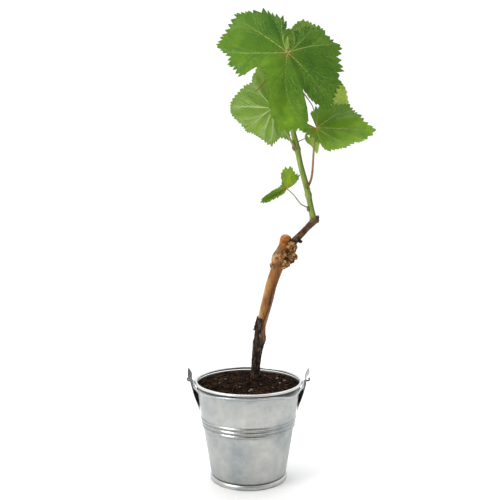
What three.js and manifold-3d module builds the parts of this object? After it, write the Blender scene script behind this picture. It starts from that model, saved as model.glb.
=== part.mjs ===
// A young grafted grapevine in a small zinc pail, in millimetres, +Z up.
// The origin is the centre of the pail's flat underside. -Y is the side that the large leaf faces.
import * as THREE from 'three';
import Module from 'manifold-3d';
import { mergeVertices } from 'three/addons/utils/BufferGeometryUtils.js';

const wasm = await Module();
wasm.setup();

// ---- driving dimensions ----------------------------------------------------------------------
const GAP = 0.3;                    // air between two pieces that touch

const PAIL = {
  foot: 37.3,                       // wall radius where it leaves the base hoop
  mouth: 52.2,                      // wall radius under the rolled rim
  hoopTop: 4,                       // height of the base hoop
  hoop: 38.5,                       // radius of the base hoop
  rim: 98,                          // height of the rolled rim's centre
  roll: 1.5,                        // radius of the rolled rim's section
  wall: 0.8,
  base: 1.2,
  ridges: 3,
  ridgeLow: 55.2,                   // height of the lowest ridge's centre
  ridgePitch: 4,
  ridgeOut: 1.1,
  facets: 40,
};
const EAR = { foot: 68, length: 45, width: 17, thick: 0.8, lean: 14.7, hole: 1.7 };
const BAIL = {
  radius: 54.9,                     // of the bow round the front
  wire: 0.9,                        // radius of the wire itself
  sag: 2.9,                         // how far the bow hangs below the pivot
  shoulder: 0.24,                   // share of the radius over which it drops that far
  pivot: 98.5,                      // height of the holes in the ears
  inset: 1.2,                       // from the bow out to where the wire turns into the hole
  reach: 60.2,                      // how far out the hooked ends come
  hook: 2.6,
  bend: 0.4,
  facets: 40,
};
const SOIL = { edge: 94.2, crown: 97.2, facets: 36, rings: 6, coarse: 0.7, fine: 0.5 };
const BLADE = 0.8;                  // leaf thickness
const SPANS = 2;                    // facets between two neighbouring tips of a leaf
const RINGS = 3;                    // facets from a leaf's junction to its edge

const FOOT = [5.8, 11, 98.6];       // the vine's flat foot on the soil

// ---- materials -------------------------------------------------------------------------------
const material = (color, roughness, metalness = 0) =>
  new THREE.MeshStandardMaterial({ color, roughness, metalness, side: THREE.DoubleSide });
const ZINC = material(0xb9c0c2, 0.35, 0.9);
const WIRE = material(0x9aa0a2, 0.3, 0.9);
const COMPOST = material(0x2c1a12, 0.95);
const BARK = material(0x7a4a28, 0.8);
const CALLUS = material(0x9c7a55, 0.85);
const GREEN_WOOD = material(0x86a84a, 0.5);
const STALK = material(0xa8925a, 0.5);
const LEAF = material(0x4f9a2a, 0.55);

const vine = new THREE.Group();

function add(name, geometry, look) {
  const mesh = new THREE.Mesh(geometry, look);
  mesh.name = name;
  vine.add(mesh);
  return mesh;
}

// ---- shapes ----------------------------------------------------------------------------------
function solid(points, triangles) {
  const geometry = new THREE.BufferGeometry();
  geometry.setAttribute('position', new THREE.Float32BufferAttribute(points.flat(), 3));
  geometry.setIndex(triangles.flat());
  return geometry;
}

const lerp = THREE.MathUtils.lerp;
const vector = (p) => new THREE.Vector3(...p);

// A limb: a closed, tapering tube through the points, with one radius for each point.
function limb(points, radii, sides, steps, flatFoot = false) {
  const curve = new THREE.CatmullRomCurve3(points.map(vector), false, 'centripetal');
  const frames = curve.computeFrenetFrames(steps, false);
  const rings = [];
  for (let i = 0; i <= steps; i += 1) {
    const along = curve.getUtoTmapping(i / steps) * (radii.length - 1);
    const span = Math.min(Math.floor(along), radii.length - 2);
    const radius = lerp(radii[span], radii[span + 1], along - span);
    const centre = curve.getPointAt(i / steps);
    const ring = [];
    for (let k = 0; k < sides; k += 1) {
      const turn = (2 * Math.PI * k) / sides;
      const p = centre.clone();
      p.addScaledVector(frames.normals[i], radius * Math.cos(turn));
      p.addScaledVector(frames.binormals[i], radius * Math.sin(turn));
      if (flatFoot && i === 0) p.z = points[0][2];
      ring.push(p.toArray());
    }
    rings.push(ring);
  }
  return loft(rings, curve.getPointAt(0).toArray(), curve.getPointAt(1).toArray());
}

// A closed body through rings of points, with a fan at each end.
function loft(rings, start, end) {
  const sides = rings[0].length;
  const points = [...rings.flat(), start, end];
  const first = points.length - 2;
  const triangles = [];
  for (let i = 0; i < rings.length - 1; i += 1) {
    for (let k = 0; k < sides; k += 1) {
      const a = i * sides + k;
      const b = i * sides + ((k + 1) % sides);
      triangles.push([a, b, b + sides], [a, b + sides, a + sides]);
    }
  }
  const last = (rings.length - 1) * sides;
  for (let k = 0; k < sides; k += 1) {
    triangles.push([first, (k + 1) % sides, k]);
    triangles.push([first + 1, last + k, last + ((k + 1) % sides)]);
  }
  return solid(points, triangles);
}

// An uneven lump: a sphere pressed to three half-sizes, with bumps on it.
function lump(centre, half, bumps, seed) {
  const across = 10;
  const down = 6;
  const rings = [];
  for (let i = 1; i < down; i += 1) {
    const lift = (Math.PI * i) / down;
    const ring = [];
    for (let k = 0; k < across; k += 1) {
      const turn = (2 * Math.PI * k) / across;
      const swell = 1 + bumps * Math.sin(3 * turn + 2 * lift + seed) * Math.sin(lift);
      ring.push([
        centre[0] + half[0] * swell * Math.sin(lift) * Math.cos(turn),
        centre[1] + half[1] * swell * Math.sin(lift) * Math.sin(turn),
        centre[2] - half[2] * Math.cos(lift),
      ]);
    }
    rings.push(ring);
  }
  const low = [centre[0], centre[1], centre[2] - half[2]];
  const top = [centre[0], centre[1], centre[2] + half[2]];
  return loft(rings, low, top);
}

function toManifold(geometry) {
  const bare = geometry.clone();
  bare.deleteAttribute('normal');
  bare.deleteAttribute('uv');
  const merged = mergeVertices(bare, 1e-4);
  return new wasm.Manifold(new wasm.Mesh({
    numProp: 3,
    vertProperties: new Float32Array(merged.attributes.position.array),
    triVerts: new Uint32Array(merged.index.array),
  }));
}

// The largest piece left of the joined shapes once the tools are cut away from them.
function carve(shapes, tools) {
  let body = shapes.map(toManifold).reduce((a, b) => a.add(b));
  for (const tool of tools) body = body.subtract(toManifold(tool));
  const pieces = body.decompose().sort((a, b) => b.volume() - a.volume());
  const mesh = pieces[0].getMesh();
  const geometry = new THREE.BufferGeometry();
  geometry.setAttribute('position', new THREE.Float32BufferAttribute(mesh.vertProperties, 3));
  geometry.setIndex(new THREE.Uint32BufferAttribute(mesh.triVerts, 1));
  return geometry;
}

// ---- leaves ----------------------------------------------------------------------------------
// A leaf is a set of ribs that fan out from its junction with the stalk, one to each tip or notch,
// in order round the edge. Each rib is [turn, reach, lift, bow, notch]: its direction in the X-Z
// plane in degrees from +X towards +Z, its length there, how far its tip stands towards the leaf's
// upper side, how far its middle bows to the left of the straight line, and how deep the edge
// falls back between it and the next rib, as a share of the reach.
const LEAVES = {
  leaf_large: {
    junction: [36, -30, 415],
    upper: -1,                      // the upper side looks along -Y
    ribs: [
      [82, 19, -3, 1, 0.03],
      [97, 34, -5, 0, 0.08],
      [118, 47, -10, 0, 0.06],
      [142, 62, -16, 0, 0.08],
      [171, 67, -22, -1, 0.1],
      [189, 56, -16, -2, 0.04],
      [206, 49, -6, -3, 0],
      [208, 28, 1, 0, 0],           // notch beside the middle lobe
      [237, 36, 8, 0, 0],
      [255, 60, 15, 0, 0.02],
      [268, 74, 11, 0, 0.03],
      [286, 68, 11, 0, 0],
      [293, 38, 6, 0, 0],           // notch beside the middle lobe
      [307, 66, -5, 0, 0.08],
      [331, 59, -12, 0, 0.08],
      [345, 56, -15, 0, 0.08],
      [369, 52, -18, 0, 0.1],
      [395, 42, -15, 0, 0.06],
      [416, 31, -9, 0, 0.05],
      [432, 20, -4, -1, 0],
    ],
  },
  leaf_back: {
    junction: [55, 34, 404],
    upper: 1,
    ribs: [
      [261, 13, -2, 0, 0.05],
      [303, 18, -3, 0, 0.1],
      [321, 62, 10, 0, 0.06],
      [340, 48, 8, 0, 0.1],
      [375, 33, 4, 0, 0.08],
      [403, 42, 2, 0, 0.06],
      [430, 49, -2, 0, 0.05],
      [453, 52, -6, 0, 0.05],
      [487, 37, -9, 0, 0.1],
      [512, 28, -8, 0, 0.1],
      [582, 13, -3, 0, 0],
    ],
  },
  leaf_left: {
    junction: [24, 8, 368],
    upper: 1,
    ribs: [
      [76, 18, -2, 0, 0],
      [95, 40, 1, 0, 0.03],
      [107, 47, 3, 0, 0.04],
      [122, 38, 5, 0, 0.08],
      [140, 36, 9, 0, 0.04],
      [171, 43, 18, 0, 0.03],
      [187, 42, 19, 0, 0.04],
      [222, 34, 12, 0, 0.05],
      [267, 37, 1, 0, 0.12],
      [298, 36, 1, 0, 0.1],
      [322, 18, -1, 0, 0],
    ],
  },
  leaf_right: {
    junction: [65, -6, 348],
    upper: -1,
    ribs: [
      [154, 13, 3, 0, 0.05],
      [180, 19, 1, 0, 0.08],
      [212, 12, 4, 0, 0.05],
      [272, 15, 11, 0, 0.02],
      [292, 24, 20, 0, 0.04],
      [322, 33, 22, 0, 0.05],
      [342, 44, 18, 0, 0.04],
      [356, 56, 10, 0, 0.05],
      [375, 45, -3, 0, 0.04],
      [395, 41, -15, 0, 0.06],
      [416, 29, -16, 0, 0.1],
      [448, 22, -13, 0, 0.04],
      [470, 14, -8, 0, 0],
    ],
  },
  leaf_small: {
    junction: [37, -14, 290],
    upper: -1,
    ribs: [
      [26, 4, -2, 0, 0],
      [45, 18, -9, 0, 0.2],
      [79, 22, -8, 0, 0.1],
      [95, 21, -7, 0, 0.05],
      [112, 16, -3, 0, 0.05],
      [132, 10, 1, 0, 0],
      [168, 15, 7, 0, 0.04],
      [201, 25, 12, -2, 0.04],
      [217, 14, 7, -1, 0],
      [236, 5, 2, 0, 0],
    ],
  },
  leaf_folded: {
    junction: [59, 7, 339],
    upper: 1,
    ribs: [
      [121, 5, -1, 0, 0],
      [200, 4, 0, 0, 0],
      [282, 7, 1, 0, 0],
      [300, 17, 5, 0, 0.06],
      [328, 12, 2, 0, 0.05],
      [377, 11, -1, 0, 0.05],
      [423, 8, -2, 0, 0],
    ],
  },
  leaf_tip: {
    junction: [31, 18, 424],
    upper: 1,
    ribs: [
      [-10, 5, -1, 0, 0],
      [30, 10, 0, 0, 0.12],
      [62, 16, 3, 0, 0.12],
      [95, 21, 5, 0, 0.12],
      [130, 15, 3, 0, 0.12],
      [162, 9, 0, 0, 0],
      [200, 5, -1, 0, 0],
    ],
  },
};

// Smooth value number `column` of the ribs at `place`, counted in ribs from the first.
function smooth(ribs, column, place) {
  const last = ribs.length - 1;
  const k = Math.min(Math.floor(place), last - 1);
  const t = place - k;
  const at = (i) => ribs[THREE.MathUtils.clamp(i, 0, last)][column];
  const [a, b, c, d] = [at(k - 1), at(k), at(k + 1), at(k + 2)];
  const slopeB = (c - a) / 2;
  const slopeC = (d - b) / 2;
  const cubic = (2 * t - 3) * t * t;
  return (1 + cubic) * b + ((t - 2) * t + 1) * t * slopeB - cubic * c + (t - 1) * t * t * slopeC;
}

// The point of a leaf at `place` round its edge and at `share` of the way out to it.
function leafPoint(leaf, place, share) {
  const { junction, upper, ribs } = leaf;
  const k = Math.min(Math.floor(place), ribs.length - 2);
  const dip = ribs[k][4] * (1 - Math.abs(2 * (place - k) - 1) ** 1.6);
  const out = share * (1 - dip);
  const turn = THREE.MathUtils.degToRad(smooth(ribs, 0, place));
  const along = smooth(ribs, 1, place) * out;
  const aside = smooth(ribs, 3, place) * 4 * out * (1 - out);
  const rise = smooth(ribs, 2, place) * (0.35 * out + 0.65 * out * out);
  return [
    junction[0] + along * Math.cos(turn) - aside * Math.sin(turn),
    junction[1] + upper * rise,
    junction[2] + along * Math.sin(turn) + aside * Math.cos(turn),
  ];
}

// A leaf's blade: two sheets, one leaf thickness apart along Y, closed round the edge.
function blade(leaf) {
  const columns = (leaf.ribs.length - 1) * SPANS;
  const sheetSize = 1 + (columns + 1) * RINGS;
  const sheet = (shift) => {
    const points = [[leaf.junction[0], leaf.junction[1] + shift, leaf.junction[2]]];
    for (let i = 0; i <= columns; i += 1) {
      for (let ring = 1; ring <= RINGS; ring += 1) {
        const [x, y, z] = leafPoint(leaf, i / SPANS, ring / RINGS);
        points.push([x, y + shift, z]);
      }
    }
    return points;
  };
  const at = (i, ring) => (ring === 0 ? 0 : i * RINGS + ring);
  const triangles = [];
  const face = (a, b, c) => {
    triangles.push([a, b, c], [a + sheetSize, c + sheetSize, b + sheetSize]);
  };
  const wall = (a, b) => {
    triangles.push([b, a, a + sheetSize], [b, a + sheetSize, b + sheetSize]);
  };
  for (let i = 0; i < columns; i += 1) {
    face(0, at(i, 1), at(i + 1, 1));
    for (let ring = 1; ring < RINGS; ring += 1) {
      face(at(i, ring), at(i, ring + 1), at(i + 1, ring + 1));
      face(at(i, ring), at(i + 1, ring + 1), at(i + 1, ring));
    }
    wall(at(i, RINGS), at(i + 1, RINGS));
  }
  for (let ring = 0; ring < RINGS; ring += 1) {
    wall(at(0, ring), at(0, ring + 1));
    wall(at(columns, ring + 1), at(columns, ring));
  }
  return solid([...sheet(-BLADE / 2), ...sheet(BLADE / 2)], triangles);
}

// ---- pail ------------------------------------------------------------------------------------
const wallAt = (z) => {
  const rise = (z - PAIL.hoopTop) / (PAIL.rim - PAIL.roll - PAIL.hoopTop);
  return lerp(PAIL.foot, PAIL.mouth, rise);
};

function pailWall() {
  const low = PAIL.base + GAP;
  const profile = [[PAIL.hoop - PAIL.wall - GAP, low], [PAIL.hoop - PAIL.wall / 2, low]];
  profile.push([PAIL.hoop, PAIL.hoopTop - 1], [wallAt(PAIL.hoopTop + 0.6), PAIL.hoopTop + 0.6]);
  for (let i = 0; i < PAIL.ridges; i += 1) {
    const z = PAIL.ridgeLow + i * PAIL.ridgePitch;
    profile.push([wallAt(z - PAIL.ridgePitch / 2), z - PAIL.ridgePitch / 2]);
    profile.push([wallAt(z) + PAIL.ridgeOut, z]);
  }
  const ridgeTop = PAIL.ridgeLow + (PAIL.ridges - 0.5) * PAIL.ridgePitch;
  profile.push([wallAt(ridgeTop), ridgeTop]);
  const rollCentre = PAIL.mouth + 0.2;
  for (let i = 0; i <= 6; i += 1) {
    const turn = THREE.MathUtils.degToRad(-90 + 45 * i);
    profile.push([
      rollCentre + PAIL.roll * Math.cos(turn),
      PAIL.rim + PAIL.roll * Math.sin(turn),
    ]);
  }
  profile.push([PAIL.mouth - PAIL.wall, PAIL.rim - PAIL.roll]);
  profile.push([wallAt(low) - PAIL.wall, low]);
  const points = profile.map(([r, z]) => new THREE.Vector2(r, z));
  points.push(points[0].clone());
  const geometry = new THREE.LatheGeometry(points, PAIL.facets);
  geometry.rotateX(Math.PI / 2);
  return geometry;
}

function pailBase() {
  const radius = PAIL.hoop;
  const points = [[0, 0], [radius - 0.4, 0], [radius, 0.4], [radius, PAIL.base], [0, PAIL.base]];
  const profile = points.map(([r, z]) => new THREE.Vector2(r, z));
  const geometry = new THREE.LatheGeometry(profile, PAIL.facets);
  geometry.rotateX(Math.PI / 2);
  return geometry;
}

// An ear: a lancet plate that leans out from the wall, with the hole that the wire hangs in.
function ear(side) {
  const half = EAR.width / 2;
  const outline = new THREE.Shape();
  outline.moveTo(0, 0);
  outline.bezierCurveTo(half * 0.7, EAR.length * 0.12, half * 1.25, EAR.length * 0.55, 0, EAR.length);
  outline.bezierCurveTo(-half * 1.25, EAR.length * 0.55, -half * 0.7, EAR.length * 0.12, 0, 0);
  const lean = THREE.MathUtils.degToRad(EAR.lean);
  const hole = new THREE.Path();
  hole.absarc(0, (BAIL.pivot - EAR.foot) / Math.cos(lean), EAR.hole, 0, 2 * Math.PI, true);
  outline.holes.push(hole);
  const settings = { depth: EAR.thick, bevelEnabled: false, curveSegments: 10 };
  const geometry = new THREE.ExtrudeGeometry(outline, settings);
  geometry.translate(0, 0, -EAR.thick / 2);
  geometry.rotateX(Math.PI / 2);
  geometry.rotateZ(Math.PI / 2);
  geometry.rotateY(lean);
  geometry.translate(wallAt(EAR.foot) + GAP + EAR.thick, 0, EAR.foot);
  if (side < 0) geometry.rotateZ(Math.PI);
  return geometry;
}

// The bail: one wire round the front of the pail, with a hook through each ear's hole.
function bail() {
  const path = [];
  const hookTop = [BAIL.reach, 0, BAIL.pivot + BAIL.hook];
  const hookBend = [BAIL.reach - BAIL.bend, 0, BAIL.pivot + BAIL.bend];
  const inner = [BAIL.radius + BAIL.inset, 0, BAIL.pivot];
  path.push(hookTop, hookBend, inner);
  for (let i = 1; i < BAIL.facets; i += 1) {
    const turn = (Math.PI * i) / BAIL.facets;
    const down = THREE.MathUtils.smoothstep(Math.sin(turn), 0, BAIL.shoulder);
    path.push([
      BAIL.radius * Math.cos(turn),
      -BAIL.radius * Math.sin(turn),
      BAIL.pivot - BAIL.sag * down,
    ]);
  }
  const mirror = ([x, y, z]) => [-x, y, z];
  path.push(mirror(inner), mirror(hookBend), mirror(hookTop));
  return limb(path, path.map(() => BAIL.wire), 8, 84);
}

// The potting soil: a plug with a rough, slightly crowned top and a flat seat under the vine.
function soil() {
  const inner = (z) => wallAt(z) - PAIL.wall - GAP;
  const seat = FOOT[2] - GAP;
  const ring = (radius, height) => {
    const points = [];
    for (let k = 0; k < SOIL.facets; k += 1) {
      const turn = (2 * Math.PI * k) / SOIL.facets;
      const x = radius * Math.cos(turn);
      const y = radius * Math.sin(turn);
      points.push([x, y, height(x, y, turn)]);
    }
    return points;
  };
  const unevenness = (x, y) => {
    const coarse = Math.sin(0.31 * x + 1) * Math.cos(0.37 * y);
    return SOIL.coarse * coarse + SOIL.fine * Math.sin(0.6 * y + 0.4 * x);
  };
  const top = (x, y) => {
    const out = Math.hypot(x, y) / inner(SOIL.edge);
    const rough = unevenness(x, y);
    const ground = lerp(SOIL.crown, SOIL.edge, out * out) + rough * (1 - out ** 4);
    const near = THREE.MathUtils.smoothstep(Math.hypot(x - FOOT[0], y - FOOT[1]), 7, 20);
    return lerp(seat, ground, near);
  };
  const low = PAIL.base + GAP + 0.1;
  const rings = [ring(inner(low) - 0.2, () => low), ring(inner(SOIL.edge), () => SOIL.edge - 0.4)];
  for (let i = 0; i < SOIL.rings; i += 1) {
    const radius = inner(SOIL.edge) * (1 - (i + 0.3) / SOIL.rings);
    rings.push(ring(radius, top));
  }
  return loft(rings, [0, 0, low], [0, 0, top(0, 0)]);
}

add('pail_base', pailBase(), ZINC);
add('pail_wall', pailWall(), ZINC);
add('ear_right', ear(1), ZINC);
add('ear_left', ear(-1), ZINC);
add('bail', bail(), WIRE);
add('soil', soil(), COMPOST);

// ---- wood ------------------------------------------------------------------------------------
const grow = (radii, by) => radii.map((radius) => radius + by);
const trunkPath = [
  FOOT, [7.6, 10.5, 119], [10, 10, 137.5], [11.3, 10, 150], [14.5, 9.5, 162], [19, 9, 180.5],
  [22, 8.5, 193], [26, 8, 205], [30.3, 7.5, 217], [34.2, 7, 229], [38, 6, 243],
];
const trunkRadii = [4, 4.1, 5.2, 5.3, 5, 5.3, 5.3, 5.2, 5.6, 6, 5.3];
const trunkLimb = (by) => limb(trunkPath, grow(trunkRadii, by), 12, 26, true);
add('trunk', trunkLimb(0), BARK);

const canePath = [[43, 5, 236], [50.5, 4, 243.5], [57.2, 3, 250.6], [63.6, 1.2, 257.6], [67.4, 1, 261.4]];
const caneRadii = [3.4, 3.5, 3.6, 3.8, 2.6];
const caneLimb = (by) => limb(canePath, grow(caneRadii, by), 10, 12);
add('cane', carve([caneLimb(0)], [trunkLimb(GAP)]), BARK);

const knobsRight = [
  lump([44.4, 4, 231], [5.4, 5.6, 5.6], 0.08, 0),
  lump([42.6, 2.5, 222.3], [6.2, 6, 5.8], 0.08, 1),
  lump([38.8, 3.5, 213.8], [5.4, 5, 5.6], 0.08, 2),
];
add('callus_right', carve(knobsRight, [trunkLimb(GAP), caneLimb(GAP)]), CALLUS);
add('callus_left', carve([lump([27, 4.5, 222.5], [3.6, 4.6, 5.4], 0.08, 3)], [trunkLimb(GAP)]), CALLUS);

// ---- green growth ----------------------------------------------------------------------------
const shootPath = [
  [62, 0.4, 258], [60.4, 0, 272], [56.6, -1, 291.4], [50.6, -2, 312.6], [46.4, -3, 331.8],
  [43.2, -4, 344.2], [38.6, 1, 372], [35.5, 8, 398], [32, 15, 419],
];
const shootRadii = [3.8, 2.9, 3.3, 2.7, 2.9, 2.7, 2.5, 2.1, 1.3];
const shootLimb = (by) => limb(shootPath, grow(shootRadii, by), 10, 40);
add('shoot', carve([shootLimb(0)], [caneLimb(GAP)]), GREEN_WOOD);

const STALKS = {
  stalk_large: {
    path: [[37.6, 1, 374], [36.5, -12, 390], [36.5, -22, 404], [36, -28.4, 413.2]],
    radius: 1.4,
  },
  stalk_back: {
    path: [[36, 7, 392], [45, 16, 399], [51, 26, 403], [54.6, 32.6, 404]],
    radius: 1.2,
  },
  stalk_left: {
    path: [[45.6, -4, 328], [40, -9, 337], [32, -4, 353], [24.6, 6, 366.6]],
    radius: 1.3,
  },
  stalk_right: {
    path: [[56.4, -1, 290], [62, -4, 308], [63.2, -5, 328], [64.6, -4.4, 346]],
    radius: 1.3,
  },
  stalk_small: {
    path: [[58.6, -0.6, 270], [51, -5, 275.5], [44, -8, 283.5], [37.6, -12.2, 289]],
    radius: 0.8,
  },
  stalk_folded: {
    path: [[46, -2, 334], [53.4, 0.5, 337.6], [58, 5.4, 338.6]],
    radius: 0.7,
  },
};
for (const [name, { path, radius }] of Object.entries(STALKS)) {
  const radii = path.map((_, i) => radius * (i === 0 ? 1.35 : 1));
  add(name, carve([limb(path, radii, 6, 12)], [shootLimb(GAP)]), STALK);
}

for (const [name, leaf] of Object.entries(LEAVES)) {
  add(name, blade(leaf), LEAF);
}

export default vine;
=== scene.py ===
"""The visible surfaces of a young grafted grapevine in a zinc pail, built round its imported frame.

Shapes are worked out in millimetres in the row frame and turned into metres as each mesh is made.
"""

import math
import random

import bpy
import numpy as np
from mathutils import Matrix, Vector, noise


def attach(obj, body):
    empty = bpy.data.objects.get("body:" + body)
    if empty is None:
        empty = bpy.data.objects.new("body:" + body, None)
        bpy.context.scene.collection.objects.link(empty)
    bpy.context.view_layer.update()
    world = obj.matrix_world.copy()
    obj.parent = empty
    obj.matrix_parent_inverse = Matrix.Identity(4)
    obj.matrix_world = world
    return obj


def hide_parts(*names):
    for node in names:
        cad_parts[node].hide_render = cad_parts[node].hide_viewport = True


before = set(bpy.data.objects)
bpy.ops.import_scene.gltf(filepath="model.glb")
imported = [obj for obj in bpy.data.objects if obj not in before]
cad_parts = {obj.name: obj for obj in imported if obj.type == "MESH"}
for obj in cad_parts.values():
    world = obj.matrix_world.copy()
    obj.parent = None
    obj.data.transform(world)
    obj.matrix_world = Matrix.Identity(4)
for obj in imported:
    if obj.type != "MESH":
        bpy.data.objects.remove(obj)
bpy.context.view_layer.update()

MM = 0.001
PLANTER = "planter"


# ---- materials -------------------------------------------------------------------------------
class Nodes:
    """A node tree, with short calls for the nodes that the looks here share."""

    def __init__(self, tree):
        self.tree = tree

    def set(self, socket, value):
        """Links an output to the socket, or gives the socket a number or a colour."""
        if isinstance(value, bpy.types.NodeSocket):
            self.tree.links.new(value, socket)
        elif socket.type == "RGBA" and len(value) == 3:
            socket.default_value = (*value, 1.0)
        else:
            socket.default_value = value

    def add(self, kind, **inputs):
        node = self.tree.nodes.new(kind)
        for name, value in inputs.items():
            self.set(node.inputs[name.replace("_", " ")], value)
        return node

    def ramp(self, factor, *stops):
        node = self.add("ShaderNodeValToRGB", Fac=factor)
        elements = node.color_ramp.elements
        while len(elements) < len(stops):
            elements.new(0.5)
        for element, (position, color) in zip(elements, stops):
            element.position = position
            element.color = (*color, 1.0)
        return node.outputs["Color"]

    def levels(self, factor, low, high, start=0.0, end=1.0):
        span = {"From_Min": low, "From_Max": high, "To_Min": start, "To_Max": end}
        return self.add("ShaderNodeMapRange", Value=factor, **span).outputs["Result"]

    def mix(self, factor, first, second):
        node = self.tree.nodes.new("ShaderNodeMix")
        node.data_type = "RGBA"
        for place, value in ((0, factor), (6, first), (7, second)):
            self.set(node.inputs[place], value)
        return node.outputs[2]

    def maths(self, operation, first, second):
        node = self.tree.nodes.new("ShaderNodeMath")
        node.operation = operation
        for socket, value in zip(node.inputs, (first, second)):
            self.set(socket, value)
        return node.outputs[0]

    def plus(self, first, second):
        return self.maths("ADD", first, second)

    def times(self, first, second):
        return self.maths("MULTIPLY", first, second)


class Look(Nodes):
    """A material whose textures lie in the piece's own coordinates, in metres."""

    def __init__(self, name, roughness=0.5, metallic=0.0, specular=0.5):
        self.material = bpy.data.materials.new(name)
        self.material.use_nodes = True
        super().__init__(self.material.node_tree)
        self.shader = self.tree.nodes["Principled BSDF"].inputs
        self.shader["Roughness"].default_value = roughness
        self.shader["Metallic"].default_value = metallic
        self.shader["Specular IOR Level"].default_value = specular
        self.place = self.add("ShaderNodeTexCoord").outputs["Object"]

    def stretched(self, height):
        """Coordinates that draw a texture out along z, where height is below 1."""
        return self.add("ShaderNodeMapping", Vector=self.place, Scale=(1, 1, height)).outputs["Vector"]

    def noise(self, scale, detail=3.0, vector=None, roughness=0.55):
        node = self.add("ShaderNodeTexNoise", Vector=vector or self.place, Scale=scale, Detail=detail)
        self.set(node.inputs["Roughness"], roughness)
        return node.outputs["Fac"]

    def patches(self, scale, detail, start, end):
        """Soft blotches between start and end."""
        return self.levels(self.noise(scale, detail), 0.3, 0.7, start, end)

    def attribute(self, name):
        node = self.add("ShaderNodeAttribute")
        node.attribute_name = name
        return node.outputs["Fac"]

    def color(self, socket):
        self.set(self.shader["Base Color"], socket)

    def rough(self, socket):
        self.set(self.shader["Roughness"], socket)

    def bump(self, *layers):
        """Each layer is (height, strength, distance in metres)."""
        normal = None
        for height, strength, distance in layers:
            node = self.add("ShaderNodeBump", Height=height, Strength=strength, Distance=distance)
            if normal:
                self.set(node.inputs["Normal"], normal)
            normal = node.outputs["Normal"]
        self.set(self.shader["Normal"], normal)


def leaf_face(look, patches, tones, mesh_scale, line_width, pale, line, vein):
    """Green patches, a net of small pale veins and paler main veins. Returns the colour and the net."""
    patchy = look.plus(look.attribute("tone"), patches)
    base = look.ramp(patchy, *zip((0.0, 0.42, 0.72, 1.0), tones))
    cells = look.add("ShaderNodeTexVoronoi", Vector=look.place, Scale=mesh_scale)
    cells.feature = "DISTANCE_TO_EDGE"
    net = cells.outputs["Distance"]
    lines = look.levels(net, 0.0, line_width, 1.0, 0.0)
    base = look.mix(look.times(lines, line), base, pale)
    return look.mix(look.times(look.attribute("vein"), vein), base, pale), net


def leaf_upper(name, *tones):
    look = Look(name, roughness=0.5, specular=0.1)
    pale = tuple(c * 1.5 + 0.02 for c in tones[1])
    base, net = leaf_face(look, look.patches(90, 4, -0.16, 0.16), tones, 420, 0.09, pale, 0.42, 0.3)
    look.color(look.mix(look.attribute("blush"), base, (0.30, 0.11, 0.025)))
    look.rough(look.patches(300, 3, 0.44, 0.6))
    look.bump((look.noise(700, 2), 0.12, 0.0003), (net, 0.5, 0.0004), (look.noise(160, 3), 0.3, 0.001))
    look.shader["Subsurface Weight"].default_value = 0.12
    look.shader["Subsurface Radius"].default_value = (0.4, 1.0, 0.15)
    look.shader["Subsurface Scale"].default_value = 0.0008
    return look.material


def leaf_under(name, *tones):
    look = Look(name, roughness=0.68, specular=0.1)
    pale = tuple(c * 1.35 + 0.03 for c in tones[1])
    base, net = leaf_face(look, look.patches(110, 4, -0.14, 0.14), tones, 430, 0.12, pale, 0.65, 0.4)
    look.color(base)
    look.bump((look.noise(900, 3), 0.2, 0.0003), (net, -0.9, 0.0005))
    look.shader["Sheen Weight"].default_value = 0.05
    look.shader["Sheen Roughness"].default_value = 0.6
    return look.material


def ribbed(name, base, shade, roughness=0.5):
    """Veins and stalks: fine fibres, with the shade in uneven patches."""
    look = Look(name, roughness=roughness, specular=0.4)
    uneven = look.plus(look.attribute("tone"), look.patches(220, 3, -0.2, 0.2))
    look.color(look.ramp(uneven, (0.0, base), (1.0, shade)))
    look.bump((look.noise(1200, 2), 0.25, 0.0003))
    return look.material


def zinc(name, light, dark, roughness, grain, uneven=1.0):
    """Galvanised metal with clouds, spangle flecks and streaks, and gloss by "shine". An attribute mixes in
    near black: painted shade in the pail's creases, ridge valleys, inner wall, rim lap and ears' backs, and a
    plain darkening of the hoop and the wire's ends.
    """
    look = Look(name, roughness=roughness, metallic=0.92)
    cloud = look.noise(28, 5, roughness=0.62)
    spangle = look.add("ShaderNodeTexVoronoi", Vector=look.place, Scale=grain).outputs["Color"]
    fleck = look.times(look.add("ShaderNodeSeparateColor", Color=spangle).outputs[0], 0.22)
    mottle = look.plus(look.levels(cloud, 0.32, 0.68, 0.0, 0.78), fleck)
    streak = look.noise(60, 3, vector=look.stretched(0.08))
    mottle = look.plus(mottle, look.levels(streak, 0.35, 0.65, -0.12, 0.12))
    clean = look.ramp(mottle, (0.0, dark), (1.0, light))
    # Near black where the attribute asks: mostly painted shade, in a few places a plain darkening.
    look.color(look.mix(look.attribute("grime"), clean, (0.03, 0.03, 0.03)))
    matt = look.patches(75, 4, roughness - 0.07, roughness + 0.1)
    look.rough(look.maths("SUBTRACT", matt, look.times(look.attribute("shine"), 0.2)))
    look.bump((look.noise(420, 3), 0.1 * uneven, 0.0003), (look.noise(30, 2), 0.12 * uneven, 0.0012))
    return look.material


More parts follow.
